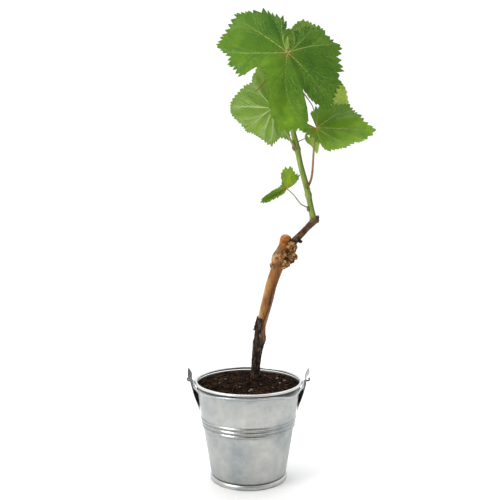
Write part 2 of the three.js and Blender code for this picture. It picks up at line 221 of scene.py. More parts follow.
def bark(name):
    """Tan bark, with "pale" places (painted highlight on the lit side, with paler bark there), "shade" places
    (painted shade on the far side, with browner bark there) and "waxed" places, that "dark" turns into
    peeling bark.
    """
    look = Look(name, roughness=0.55, specular=0.16)
    lengthwise = look.attribute("grain")
    fine = look.noise(560, 6, vector=look.stretched(0.24), roughness=0.7)
    blotch = look.noise(95, 4, vector=look.stretched(0.4))
    tan = look.ramp(
        look.plus(look.levels(blotch, 0.3, 0.7, 0.0, 0.8), look.levels(fine, 0.4, 0.75, 0.0, 0.3)),
        (0.0, (0.44, 0.23, 0.070)),
        (0.3, (0.32, 0.135, 0.034)),
        (0.55, (0.21, 0.070, 0.016)),
        (0.8, (0.11, 0.034, 0.010)),
        (1.0, (0.05, 0.020, 0.010)),
    )
    brown = look.ramp(
        look.plus(look.levels(fine, 0.3, 0.7, 0.0, 0.7), look.levels(blotch, 0.3, 0.7, 0.0, 0.3)),
        (0.15, (0.006, 0.004, 0.003)),
        (0.45, (0.024, 0.014, 0.010)),
        (0.6, (0.078, 0.053, 0.041)),
        (0.8, (0.19, 0.145, 0.115)),
    )
    # Painted highlight and painted shade, each mixed with the bark's own paler and browner tones.
    tan = look.mix(look.attribute("pale"), tan, (0.60, 0.41, 0.19))
    tan = look.mix(look.attribute("shade"), tan, (0.085, 0.032, 0.012))
    wax = look.ramp(
        look.noise(260, 4),
        (0.35, (0.17, 0.050, 0.012)),
        (0.5, (0.36, 0.12, 0.022)),
        (0.68, (0.56, 0.27, 0.075)),
    )
    tan = look.mix(look.attribute("waxed"), tan, wax)
    look.color(look.mix(look.attribute("dark"), tan, brown))
    look.rough(look.levels(look.attribute("dark"), 0.0, 1.0, 0.42, 0.85))
    look.bump((fine, 0.35, 0.0007), (lengthwise, 0.2, 0.0004))
    return look.material


def callus_look(name):
    """Corky tissue, near black where "pit" asks: painted shade in the seams between lumps and in the dents.
    """
    look = Look(name, roughness=0.75, specular=0.12)
    spots = look.noise(430, 4, roughness=0.7)
    base = look.ramp(
        spots,
        (0.25, (0.07, 0.030, 0.012)),
        (0.4, (0.20, 0.085, 0.026)),
        (0.56, (0.43, 0.22, 0.080)),
        (0.72, (0.78, 0.52, 0.27)),
    )
    look.color(look.mix(look.attribute("pit"), base, (0.035, 0.018, 0.01)))
    look.bump((look.noise(900, 3), 0.6, 0.0006))
    return look.material


def shoot_look(name):
    """Streaked green skin, brown by "dark", and deeper green by "shade": painted shade on the shoot's side
    away from the key light, and an even slight darkening of the buds.
    """
    look = Look(name, roughness=0.45, specular=0.3)
    streaks = look.noise(420, 4, vector=look.stretched(0.06))
    green = look.ramp(
        streaks,
        (0.25, (0.12, 0.18, 0.022)),
        (0.5, (0.20, 0.28, 0.042)),
        (0.75, (0.31, 0.39, 0.085)),
    )
    blush = look.levels(look.noise(140, 3), 0.52, 0.75, 0.0, 0.35)
    green = look.mix(blush, green, (0.17, 0.11, 0.030))
    green = look.mix(look.attribute("shade"), green, (0.060, 0.105, 0.012))
    look.color(look.mix(look.attribute("dark"), green, (0.09, 0.042, 0.022)))
    look.bump((streaks, 0.25, 0.0004))
    return look.material


def soil_look(name, dark, mid, light):
    """Crumbly stuff in three tones."""
    look = Look(name, roughness=0.95, specular=0.06)
    crumbs = look.noise(520, 6, roughness=0.75)
    patches = look.noise(70, 3)
    value = look.plus(look.levels(crumbs, 0.3, 0.75, 0.0, 0.8), look.levels(patches, 0.3, 0.7, -0.1, 0.2))
    look.color(look.ramp(value, (0.1, dark), (0.5, mid), (0.95, light)))
    look.bump((crumbs, 0.9, 0.0012), (look.noise(1500, 3), 0.5, 0.0005))
    return look.material


ZINC = zinc("zinc_sheet", (0.505, 0.50, 0.475), (0.28, 0.315, 0.325), 0.4, 210)
# The rolled rim and hoop get a lighter copy of the zinc: the lighter colour is painted highlight for the
# light the rolled rim catches.
ZINC_BRIGHT = zinc("zinc_rolled", (0.76, 0.77, 0.76), (0.52, 0.54, 0.54), 0.32, 420, 0.12)
ZINC_EAR = zinc("zinc_ear", (0.46, 0.48, 0.49), (0.24, 0.26, 0.27), 0.28, 420, 0.5)
WIRE = zinc("zinc_wire", (0.58, 0.59, 0.59), (0.32, 0.34, 0.35), 0.22, 700, 0.4)
BARK = bark("vine_bark")
CALLUS = callus_look("graft_callus")
SHOOT = shoot_look("green_shoot")
SOIL = soil_look("potting_mix", (0.004, 0.003, 0.002), (0.018, 0.010, 0.007), (0.075, 0.042, 0.028))
CRUMBS = soil_look("potting_crumbs", (0.006, 0.004, 0.003), (0.028, 0.015, 0.010), (0.11, 0.062, 0.038))
FIBRE = soil_look("peat_fibres", (0.04, 0.018, 0.009), (0.13, 0.062, 0.030), (0.36, 0.22, 0.11))
PERLITE = soil_look("perlite", (0.09, 0.08, 0.07), (0.22, 0.19, 0.17), (0.48, 0.44, 0.40))
VEIN_UP = ribbed("veins_above", (0.11, 0.22, 0.018), (0.36, 0.46, 0.13))
VEIN_LOW = ribbed("veins_below", (0.24, 0.37, 0.10), (0.50, 0.60, 0.27))
STALK_RED = ribbed("stalk_red", (0.20, 0.040, 0.018), (0.30, 0.20, 0.085), 0.42)
STALK_GREEN = ribbed("stalk_green", (0.21, 0.25, 0.06), (0.20, 0.11, 0.045), 0.42)
UPPER = leaf_upper(
    "leaf_upper", (0.040, 0.110, 0.012), (0.080, 0.178, 0.012), (0.135, 0.265, 0.013), (0.25, 0.39, 0.02)
)
UNDER = leaf_under(
    "leaf_under", (0.075, 0.165, 0.020), (0.130, 0.230, 0.028), (0.200, 0.320, 0.036), (0.32, 0.43, 0.06)
)
# The paler greens: partly the leaves' own colour, partly painted light shining through leaf_back and
# leaf_tip.
UPPER_PALE = leaf_upper(
    "leaf_upper_pale", (0.070, 0.165, 0.014), (0.125, 0.245, 0.018), (0.25, 0.38, 0.05), (0.42, 0.54, 0.12)
)
UNDER_PALE = leaf_under(
    "leaf_under_pale", (0.070, 0.170, 0.014), (0.130, 0.250, 0.020), (0.29, 0.42, 0.045), (0.48, 0.60, 0.09)
)


# ---- mesh making -----------------------------------------------------------------------------
def smooth(values, place):
    """A smooth curve through values, which stand at place 0, 1, 2 and so on."""
    values = np.asarray(values, float)
    place = np.asarray(place, float)
    last = len(values) - 1
    k = np.clip(place.astype(int), 0, last - 1)
    t = place - k
    if values.ndim == 2:
        t = t[..., None]
    before, here, there, after = (values[np.clip(k + i, 0, last)] for i in (-1, 0, 1, 2))
    cubic = (2 * t - 3) * t * t
    slopes = ((t - 2) * t + 1) * t * (there - before) / 2 + (t - 1) * t * t * (after - here) / 2
    return (1 + cubic) * here - cubic * there + slopes


def unit(v):
    return v / np.maximum(np.linalg.norm(v, axis=-1, keepdims=True), 1e-9)


def ease(low, high, value):
    """0 up to low, 1 from high on, and a smooth step between."""
    t = np.clip((np.asarray(value, float) - low) / (high - low), 0, 1)
    return t * t * (3 - 2 * t)


def band(value, middle, width, power=2):
    """1 at middle, falling off smoothly to both sides."""
    return np.exp(-(((value - middle) / width) ** power))


def facing(turn, way):
    """1 on the side of a tube that looks towards way, falling to 0 a quarter turn from it."""
    return np.clip(np.cos(turn - way), 0, 1)


def circle(steps):
    """Evenly spaced turns round a full circle, from 0."""
    return np.linspace(0, 2 * math.pi, steps, endpoint=False)


def put(name, data):
    """A new object in the scene, made of data."""
    item = bpy.data.objects.new(name, data)
    bpy.context.scene.collection.objects.link(item)
    return item


def note(mesh, name, values):
    """One number for each vertex, which a material reads by its name."""
    layer = mesh.attributes.new(name, "FLOAT", "POINT")
    layer.data.foreach_set("value", np.asarray(values, np.float32))


class Parts:
    """Closed shapes gathered into one mesh, in millimetres, each vertex with its attributes."""

    def __init__(self):
        self.points = []
        self.faces = []
        self.slots = []
        self.values = {}
        self.count = 0

    def add(self, points, faces, slot=0, **values):
        points = np.asarray(points, float)
        self.points.append(points)
        self.faces.extend([tuple(int(i) + self.count for i in face) for face in faces])
        self.slots.extend([slot] * len(faces) if isinstance(slot, int) else slot)
        for name, value in values.items():
            self.values.setdefault(name, []).append(np.broadcast_to(value, len(points)))
        self.count += len(points)
        return self

    def make(self, name, material, slot, *replaces, body=PLANTER):
        mesh = bpy.data.meshes.new(name)
        points = np.concatenate(self.points) * MM
        mesh.from_pydata(points.tolist(), [], self.faces)
        for attribute, value in self.values.items():
            note(mesh, attribute, np.concatenate(value))
        for item in material if isinstance(material, (list, tuple)) else [material]:
            mesh.materials.append(item)
        mesh.polygons.foreach_set("material_index", self.slots)
        mesh.polygons.foreach_set("use_smooth", [True] * len(self.faces))
        mesh.update()
        piece = put(name, mesh)
        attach(piece, body)
        if replaces:
            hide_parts(*replaces)
        return piece


def loft(rings, sides, caps=True):
    """Faces of a tube through rings of points, with a fan of faces on each end's middle point."""
    faces = []
    for i in range(rings - 1):
        for k in range(sides):
            a = i * sides + k
            b = i * sides + (k + 1) % sides
            faces.append((a, b, b + sides, a + sides))
    if caps:
        start = rings * sides
        last = (rings - 1) * sides
        for k in range(sides):
            faces.append((start, (k + 1) % sides, k))
            faces.append((start + 1, last + k, last + (k + 1) % sides))
    return faces


def slab(rows, wide, closed):
    """Faces of two grids of points, the second behind the first, joined along their open edges."""
    size = rows * wide
    steps = [(k, (k + 1) % wide) for k in range(wide if closed else wide - 1)]
    faces = []
    for row in range(0, size - wide, wide):
        for a, b in steps:
            a, b = a + row, b + row
            faces.append((a, b, b + wide, a + wide))
            faces.append((a + size, a + wide + size, b + wide + size, b + size))
    edges = steps + [(b + size - wide, a + size - wide) for a, b in steps]
    if not closed:
        for row in range(0, size - wide, wide):
            edges += [(row + wide - 1, row + 2 * wide - 1), (row + wide, row)]
    return faces + [(b, a, a + size, b + size) for a, b in edges]


def frames(centres):
    """Two directions across a line of points, carried along it without twist."""
    tangents = unit(np.gradient(centres, axis=0))
    across = np.zeros_like(centres)
    side = np.cross(tangents[0], (0.0, 1.0, 0.2))
    for i, tangent in enumerate(tangents):
        side = side - tangent * (side @ tangent)
        side = side / np.linalg.norm(side)
        across[i] = side
    return across, np.cross(tangents, across)


def tube(points, radii, sides, step, relief=None, round_end=False):
    """A tapering tube. Returns its points, faces, the share of the way and the turn of each point."""
    points = np.asarray(points, float)
    length = np.linalg.norm(np.diff(points, axis=0), axis=1).sum()
    count = max(4, int(length / step))
    place = np.linspace(0, len(points) - 1, count)
    centres = smooth(points, place)
    radius = smooth(radii, place)
    share = np.linspace(0, 1, count)
    if round_end:
        left = (1 - share) * length / np.maximum(radius, 0.01)
        radius = radius * np.sqrt(np.clip(1 - (1 - np.minimum(left, 1)) ** 2, 0.0025, 1))
    across, over = frames(centres)
    turn = circle(sides)
    shape = radius[:, None] * np.ones(sides)
    if relief is not None:
        shape = shape + relief(share[:, None], turn[None, :], centres)
    body = (
        centres[:, None]
        + across[:, None] * (shape * np.cos(turn))[..., None]
        + over[:, None] * (shape * np.sin(turn))[..., None]
    )
    cloud = np.concatenate([body.reshape(-1, 3), centres[:1], centres[-1:]])
    shares = np.concatenate([np.repeat(share, sides), [0.0, 1.0]])
    turns = np.concatenate([np.tile(turn, count), [0.0, 0.0]])
    return cloud, loft(count, sides), shares, turns


def wobble(points, scale, seed=0.0):
    """Perlin noise, -1 to 1, at each point, with features of about scale millimetres."""
    shift = Vector((seed, seed * 1.7, seed * 0.3))
    return np.array([noise.noise(Vector(p) / scale + shift) for p in np.asarray(points).reshape(-1, 3)])


def ball(centre, half, bumps, seed, across=10, down=7):
    """An uneven lump, from its middle, its three half sizes and how uneven it is."""
    lift = np.linspace(0, math.pi, down + 1)[1:-1]
    turn = circle(across)
    directions = np.array(
        [[math.sin(a) * math.cos(b), math.sin(a) * math.sin(b), -math.cos(a)] for a in lift for b in turn]
        + [[0, 0, -1], [0, 0, 1]]
    )
    swell = 1 + bumps * wobble(directions, 0.8, seed)
    points = np.asarray(centre) + directions * np.asarray(half) * swell[:, None]
    return points, loft(down - 1, across)


# ---- leaves ----------------------------------------------------------------------------------
# Leaves in the paler greens: partly their own paler colour, partly painted light for the light that shines
# through leaf_back and leaf_tip from behind.
PALE = {"leaf_back", "leaf_folded", "leaf_tip"}
HALF_THICK = 0.14                   # half a leaf blade's thickness


class Leaf:
    """A leaf's surface, worked out from its ribs: place runs round the edge, out from 0 to 1."""

    def __init__(self, name, junction, upper, ribs, veins, tones, tone, columns, teeth, rolls=()):
        self.name = name
        self.junction = np.array(junction, float)
        self.upper = upper
        self.ribs = np.array(ribs, float)
        self.veins, self.tones, self.tone_level, self.rolls = veins, tones, tone, rolls
        self.columns, self.teeth = columns, teeth
        self.last = len(ribs) - 1
        self.rng = random.Random(name)
        self.seed = self.rng.uniform(0, 40)
        self.places = np.linspace(0, self.last, 4000)
        self.turns = np.maximum.accumulate(smooth(self.ribs[:, 0], self.places))
        self.cuts = self.cut_teeth()
        self.paths = self.trace_veins()

    def dip(self, place):
        """How far out the edge is, as the notches between the ribs leave it."""
        k = np.clip(place.astype(int), 0, self.last - 1)
        return 1 - self.ribs[k, 4] * (1 - np.abs(2 * (place - k) - 1) ** 1.6)

    def sheet(self, place, out):
        """Points of the smooth surface."""
        turn = np.radians(smooth(self.ribs[:, 0], place))
        along = smooth(self.ribs[:, 1], place) * out
        aside = smooth(self.ribs[:, 3], place) * 4 * out * (1 - out)
        rise = smooth(self.ribs[:, 2], place) * (0.35 * out + 0.65 * out * out)
        for middle, width, depth in self.rolls:
            rise = rise - depth * band(place, middle, width) * ease(0.78, 1.04, out)
        x = along * np.cos(turn) - aside * np.sin(turn)
        z = along * np.sin(turn) + aside * np.cos(turn)
        return self.junction + np.stack([x, self.upper * rise, z], -1)

    def normal(self, place, out):
        """The way that the upper face looks."""
        out = np.maximum(out, 0.04)
        round_it = self.sheet(place + 0.02, out) - self.sheet(place - 0.02, out)
        outward = self.sheet(place, out + 0.01) - self.sheet(place, out - 0.01)
        across = unit(np.cross(round_it, outward))
        return across * np.where(across[..., 1:2] * self.upper < 0, -1, 1)

    def cut_teeth(self):
        """How far the edge is cut back, in millimetres, at each of self.places."""
        edge = self.sheet(self.places, self.dip(self.places))
        walked = np.concatenate([[0], np.cumsum(np.linalg.norm(np.diff(edge, axis=0), axis=1))])
        pitch, depth = self.teeth
        cuts = np.zeros_like(walked)
        start = 0.0
        while start < walked[-1]:
            wide = pitch * self.rng.uniform(0.45, 1.6)
            deep = depth * (wide / pitch) ** 0.7 * self.rng.uniform(0.6, 1.2)
            peak = self.rng.uniform(0.3, 0.7)
            inside = (walked >= start) & (walked < start + wide)
            t = (walked[inside] - start) / wide
            fall = np.where(t < peak, (peak - t) / peak, (t - peak) / (1 - peak))
            cuts[inside] = deep * fall
            start += wide
        ends = ease(0, 6, walked) * ease(0, 6, walked[-1] - walked)
        return cuts * ends

    def edge(self, place, share):
        """out at a share of the way to the toothed edge."""
        cut = np.interp(place, self.places, self.cuts) / np.maximum(smooth(self.ribs[:, 1], place), 3)
        proud = 0.8 / np.maximum(smooth(self.ribs[:, 1], place), 12)
        return share * (self.dip(place) + (proud - cut) * ease(0.8, 1.0, share))

    def trace_veins(self):
        """Each vein as places, outs, and half-widths in millimetres at its start and its end."""
        mains = self.veins
        paths = []
        ends = [-mains[0][1]] + [end for _, end in mains] + [2 * self.last - mains[-1][1]]
        for i, (start, end) in enumerate(mains):
            t = np.linspace(0, 1, 36)
            place = start + (end - start) * t**0.8
            out = 0.985 * t * self.dip(place)
            reach = float(smooth(self.ribs[:, 1], np.array([end]))[0])
            weight = 0.13 + 0.0026 * reach
            paths.append((place, out, weight, 0.09))
            for side, room in ((-1, (end - ends[i]) / 2), (1, (ends[i + 2] - end) / 2)):
                self.trace_branches(paths, place, out, side, room, reach)
        return paths

    def trace_branches(self, paths, place, out, side, room, reach):
        count = max(2, round(reach / 9))
        for j in range(count):
            start = 0.14 + 0.7 * (j + 0.4 * (side > 0) + self.rng.uniform(-0.15, 0.15)) / count
            k = int(start * (len(place) - 1))
            tip = place[-1] + side * room * (1 - start) * self.rng.uniform(0.95, 1.1)
            tip = min(max(tip, 0.05), self.last - 0.05)
            branch = self.between(place[k], out[k], tip, 0.965)
            if branch is None:
                continue
            paths.append((*branch, 0.15 * (1.1 - start), 0.06))
            for fork in (0.35, 0.62):
                sub = int((fork + self.rng.uniform(-0.08, 0.08)) * (len(branch[0]) - 1))
                way = side if self.rng.random() < 0.65 else -side
                goal = tip + way * room * 0.3 * (1 - fork * 0.6)
                goal = min(max(goal, 0.05), self.last - 0.05)
                twig = self.between(branch[0][sub], branch[1][sub], goal, 0.95)
                if twig is not None:
                    paths.append((*twig, 0.08, 0.045))

    def flat(self, place, out):
        """Where a point lies on the blade seen from the front, and its turn."""
        turn = np.radians(np.interp(place, self.places, self.turns))
        along = float(smooth(self.ribs[:, 1], np.array([place]))[0]) * out
        return np.array([along * math.cos(turn), along * math.sin(turn)]), turn

    def between(self, place, out, tip, share):
        """A gently bent line across the blade to the edge at tip, or None if it leaves the blade."""
        first, first_turn = self.flat(place, out)
        last, _ = self.flat(tip, share * float(self.dip(np.array([tip]))[0]))
        step = last - first
        bend = 0.1 * np.array([-step[1], step[0]]) * np.sign(tip - place) * -1
        t = np.linspace(0, 1, 16)[:, None]
        line = first + step * t + bend * 4 * t * (1 - t)
        angle = np.degrees(np.unwrap(np.arctan2(line[:, 1], line[:, 0])))
        angle += 360 * round((math.degrees(first_turn) - angle[0]) / 360)
        places = np.interp(angle, self.turns, self.places)
        outs = np.linalg.norm(line, axis=1) / smooth(self.ribs[:, 1], places)
        if np.any(outs > self.dip(places) * 1.01) or abs(places[0] - place) > 0.4:
            return None
        return places, outs

    def relief(self, points):
        """The blade's height between its veins, and how near each point is to a vein."""
        spots = np.concatenate([self.sheet(place, out) for place, out, _, _ in self.paths])
        strength = np.concatenate([np.linspace(a, b, len(place)) for place, _, a, b in self.paths])
        height = []
        near = []
        for some in np.array_split(points, 1 + len(points) // 2000):
            gap = np.linalg.norm(some[:, None] - spots, axis=2)
            height.append(1 - band(gap.min(1), 0, 3.2))
            near.append(band(gap, 0, 0.35 + 1.6 * strength).max(1))
        return np.concatenate(height), np.concatenate(near)

    def tone(self, points):
        value = self.tone_level + 0.12 * wobble(points, 16, self.seed)
        for turn, distance, width, amount in self.tones:
            angle = math.radians(turn)
            spot = self.junction[[0, 2]] + distance * np.array([math.cos(angle), math.sin(angle)])
            gap = np.linalg.norm(points[:, [0, 2]] - spot, axis=1)
            value += amount * band(gap, 0, width)
        return np.clip(value, 0, 1)

    def blush(self, points):
        """The red tint round the junction with the stalk."""
        gap = np.linalg.norm(points - self.junction, axis=1)
        return 0.7 * band(gap, 0, 3.2) + 0.12 * band(gap, 0, 9)

    def ripple(self, place, out):
        """How far small waves near the edge lift the blade."""
        wave = np.sin(place * 2.6 + self.seed) + 0.6 * np.sin(place * 5.3 + self.seed * 2)
        size = 0.018 * smooth(self.ribs[:, 1], place)
        return size * wave * np.clip(out, 0, 1) ** 3

    def blade(self):
        """The blade's middle surface, as rings of points that thin out towards the stalk."""
        shares = [1.0, 0.985, 0.962, 0.93]
        step = 1.25 / self.ribs[:, 1].max()
        while shares[-1] > step:
            shares.append(shares[-1] - step)
        rings = []
        for i, share in enumerate(shares):
            count = self.columns if i < 3 else self.columns // 2
            while count > 16 and share < count / self.columns * 0.9:
                count //= 2
            rings.append((share, max(count, 16)))
        rings.reverse()
        places = [np.zeros(1)]
        outs = [np.zeros(1)]
        starts = []
        total = 1
        for share, count in rings:
            place = np.linspace(0, self.last, count + 1)
            places.append(place)
            outs.append(self.edge(place, np.full(count + 1, share)))
            starts.append((total, count))
            total += count + 1
        place = np.concatenate(places)
        out = np.concatenate(outs)
        points = self.sheet(place, out)
        across = self.normal(place, out)
        across[0] = unit(across[1:starts[0][1] + 2].mean(0))
        height, near = self.relief(points)
        height = height * ease(0, 0.08, out) + self.ripple(place, out)
        points = points + across * height[:, None]
        faces = self.sheet_faces(starts)
        return points, across, faces, self.rim_of(starts), near

    def sheet_faces(self, starts):
        first, count = starts[0]
        faces = [(0, first + i, first + i + 1) for i in range(count)]
        for (inner, few), (outer, many) in zip(starts, starts[1:]):
            for i in range(inner, inner + few):
                if few == many:
                    a = outer + i - inner
                    faces.append((i, a, a + 1, i + 1))
                else:
                    a = outer + 2 * (i - inner)
                    faces.extend([(i, a, a + 1), (i, a + 1, i + 1), (i + 1, a + 1, a + 2)])
        return faces

    def rim_of(self, starts):
        """The blade's outline: out along one side of the leaf's slit, round the edge, and back."""
        outer, many = starts[-1]
        edge = list(range(outer + 1, outer + many + 1))
        return [0] + [first for first, _ in starts] + edge + [a + b for a, b in reversed(starts[:-1])]

    def make(self):
        points, across, faces, rim, near = self.blade()
        size = len(points)
        flip = -self.upper
        both = np.concatenate([points + across * HALF_THICK, points - across * HALF_THICK])
        top = [face[::flip] for face in faces]
        low = [tuple(i + size for i in face)[::-flip] for face in faces]
        walls = [(b, a, a + size, b + size)[::flip] for a, b in zip(rim, rim[1:] + rim[:1])]
        slots = [0] * len(top) + [1] * len(low) + [0] * len(walls)
        values = {"tone": self.tone(points), "vein": near, "blush": self.blush(points)}
        values = {name: np.tile(value, 2) for name, value in values.items()}
        parts = Parts().add(both, top + low + walls, slots, **values)
        looks = (UPPER_PALE, UNDER_PALE) if self.name in PALE else (UPPER, UNDER)
        parts.make(self.name + "_blade", looks, "leaf", self.name)
        self.make_veins("_veins_above", 1, VEIN_UP, 1.3, 0.07)
        self.make_veins("_veins_below", -1, VEIN_LOW, 2.0, 0.75)

    def make_veins(self, suffix, side, look, wide, proud):
        """Half-round ribs that lie on one face of the blade and taper along each vein."""
        parts = Parts()
        across = np.array([-1.0, -0.75, 0.0, 0.75, 1.0])
        height = np.array([-0.35, 0.55, 1.0, 0.55, -0.35])
        for place, out, first, last in self.paths:
            out = np.clip(out, 0.012, None)
            base = self.sheet(place, out)
            up = self.normal(place, out)
            base = base + up * (self.ripple(place, out) + side * HALF_THICK)[:, None]
            ahead = unit(np.gradient(base, axis=0))
            sideways = np.cross(ahead, up * side)
            half = np.linspace(first, last, len(place)) * wide
            half[-3:] *= (0.8, 0.55, 0.2)
            lift = np.minimum(half * proud * 1.1, proud)
            rings = (
                base[:, None]
                + sideways[:, None] * (half[:, None] * across)[..., None]
                + (up * side)[:, None] * (lift[:, None] * height + 0.01)[..., None]
            )
            cloud = np.concatenate([rings.reshape(-1, 3), base[:1], base[-1:]])
            strong = min(1.0, 4.4 * first)
            tone = np.append(np.repeat(np.linspace(strong, 0.3 * strong, len(place)), 5), [strong, 0])
            parts.add(cloud, loft(len(place), 5), tone=tone)
        parts.make(self.name + suffix, look, "leaf")


# Each rib is (turn, reach, lift, bow, notch), as in the frame's own leaves. A vein is the pair of
# places, counted in ribs, where it starts and ends. A tone is (turn, distance, width, amount):
# a patch that is yellower above 0 and bluer below. A roll is (place, width, depth): edge turned back.
Leaf(
    "leaf_large", (36, -30, 415), -1,
    ribs=[
        (82, 19, -3, 3.4, 0.03), (97, 34, -5, 3, 0.08), (118, 47, -10, 1, 0.06), (142, 62, -16, 0, 0.08),
        (171, 67, -22, -1, 0.1), (189, 56, -16, -2, 0.04), (206, 49, -6, -3, 0), (208, 28, 1, 0, 0),
        (237, 36, 8, 0, 0), (255, 60, 15, 0, 0.02), (268, 74, 11, 0, 0.03), (286, 68, 11, 0, 0),
        (293, 38, 6, 0, 0), (307, 66, -5, 0, 0.08), (331, 59, -12, 0, 0.08), (345, 56, -15, 0, 0.08),
        (369, 52, -18, 0, 0.1), (395, 42, -15, -1, 0.06), (416, 31, -9, -3, 0.05), (432, 20, -4, -3.4, 0),
    ],
    veins=[(1, 1), (3, 3.1), (5, 4.3), (9.2, 10.7), (13.6, 13.2), (16.6, 16.1), (17.6, 17.6)],
    tones=[(262, 58, 22, 0.28), (225, 30, 16, 0.16), (150, 52, 22, -0.05), (20, 22, 26, -0.18),
           (318, 45, 24, -0.26), (100, 30, 18, -0.34), (112, 46, 16, -0.28), (275, 30, 16, -0.1),
           (66, 28, 12, -0.14)],
    rolls=[(4.1, 0.7, 5), (10.2, 1.3, 10)],
    tone=0.44,
    columns=1536,
    teeth=(5.0, 3.4),
).make()
Leaf(
    "leaf_back", (55, 34, 404), 1,
    ribs=[
        (261, 13, -2, 0, 0.05), (303, 18, -3, 0, 0.1), (321, 62, 10, 0, 0.06), (340, 48, 8, 0, 0.1),
        (375, 33, 4, 0, 0.08), (403, 42, 2, 0, 0.06), (430, 49, -2, 0, 0.05), (453, 52, -6, 0, 0.05),
        (487, 37, -9, 0, 0.1), (512, 28, -8, 0, 0.1), (582, 13, -3, 0, 0),
    ],
    veins=[(2, 2), (4, 4.2), (5.8, 6), (7.6, 7.4), (9, 9)],
    # The big yellow patch on the right is painted light shining through the blade.
    tones=[(321, 50, 28, 0.7), (440, 46, 20, 0.12)],
    tone=0.37,
    columns=768,
    teeth=(3.8, 2.2),
).make()
Leaf(
    "leaf_left", (24, 8, 368), 1,
    ribs=[
        (76, 18, -2, 0, 0), (95, 40, 1, 0, 0.03), (107, 47, 3, 0, 0.04), (122, 38, 5, 0, 0.08),
        (140, 36, 9, 0, 0.04), (171, 43, 18, 0, 0.03), (187, 42, 19, 0, 0.05), (222, 34, 12, 0, 0.12),
        (267, 38, 1, 0, 0.22), (298, 36, 1, 0, 0.16), (322, 18, -1, 0, 0),
    ],
    veins=[(1.4, 1.5), (3.6, 3.5), (5.5, 5.2), (6.8, 6.9), (7.6, 7.6), (8.1, 8), (9, 9)],
    tones=[(100, 42, 16, 0.3), (180, 40, 16, -0.1), (230, 25, 16, 0.1)],
    tone=0.45,
    rolls=[(5.6, 0.8, 3)],
    columns=1024,
    teeth=(3.4, 2.1),
).make()
Leaf(
    "leaf_right", (65, -6, 348), -1,
    ribs=[
        (154, 13, 3, 0, 0.05), (180, 19, 1, 0, 0.08), (212, 12, 4, 0, 0.05), (272, 15, 11, 0, 0.02),
        (292, 24, 20, 0, 0.04), (322, 33, 22, 0, 0.05), (342, 44, 18, 0, 0.04), (356, 56, 10, 0, 0.05),
        (375, 45, -3, 0, 0.04), (395, 41, -15, 0, 0.06), (416, 29, -16, 0, 0.1), (448, 22, -13, 0, 0.04),
        (470, 14, -8, 0, 0),
    ],
    veins=[(1, 1), (3.6, 3.6), (5.2, 5.2), (7.2, 7), (9, 8.9), (10.8, 10.9)],
    tones=[(330, 34, 16, 0.16), (0, 52, 22, 0.12), (40, 16, 16, -0.12), (290, 18, 12, 0.1)],
    tone=0.62,
    columns=1024,
    teeth=(4.6, 2.8),
).make()
Leaf(
    "leaf_small", (37, -14, 290), -1,
    ribs=[
        (26, 4, -2, 0, 0), (45, 18, -9, 0, 0.2), (79, 22, -8, 0, 0.1), (95, 21, -7, 0, 0.05),
        (112, 16, -3, 0, 0.05), (132, 8, 1, 0, 0), (175, 10, 7, 0, 0.04), (207, 29, 12, -2, 0.04),
        (221, 12, 7, -1, 0), (236, 5, 2, 0, 0),
    ],
    veins=[(1, 1), (2.6, 2.6), (4.2, 4.2), (6.9, 6.8)],
    tones=[(85, 14, 12, 0.1), (205, 18, 9, -0.15)],
    tone=0.85,
    columns=384,
    teeth=(3.6, 2.2),
).make()
Leaf(
    "leaf_folded", (59, 7, 339), 1,
    ribs=[
        (121, 5, -1, 0, 0), (200, 4, 0, 0, 0), (282, 7, 1, 0, 0), (300, 17, 5, 0, 0.06),
        (328, 12, 2, 0, 0.05), (377, 11, -1, 0, 0.05), (423, 8, -2, 0, 0),
    ],
    veins=[(3, 3), (5, 5)],
    tones=[(300, 10, 12, 0.3)],
    tone=0.6,
    columns=256,
    teeth=(2.0, 0.7),
).make()
Leaf(
    "leaf_tip", (31, 18, 424), 1,
    ribs=[
        (-10, 5, -1, 0, 0), (30, 10, 0, 0, 0.12), (62, 16, 3, 0, 0.12), (95, 21, 5, 0, 0.12),
        (130, 15, 3, 0, 0.12), (162, 9, 0, 0, 0), (200, 5, -1, 0, 0),
    ],
    veins=[(1, 1), (2, 2), (3, 3), (4, 4), (5, 5)],
    # The high tone and the yellow patch are painted light shining through this leaf.
    tones=[(95, 10, 14, 0.4)],
    tone=1.0,
    columns=256,
    teeth=(1.8, 0.8),
).make()


# ---- wood ------------------------------------------------------------------------------------
TRUNK = [
    (6.2, 11, 98.6), (8.1, 10.5, 119), (10.7, 10, 137.5), (12, 10, 150), (15, 9.5, 162), (19.5, 9, 180.5),
    (22.6, 8.5, 193), (26.5, 8, 205), (30.5, 7.5, 217), (34.2, 7, 229), (38, 6, 244.4),
]
TRUNK_RADII = [4.3, 4.5, 4.9, 4.9, 5.1, 5.6, 5.6, 5.7, 6.3, 6.0, 5.3]
WAX_LINE = 0.385                    # share of the trunk's length that is dark and peeling


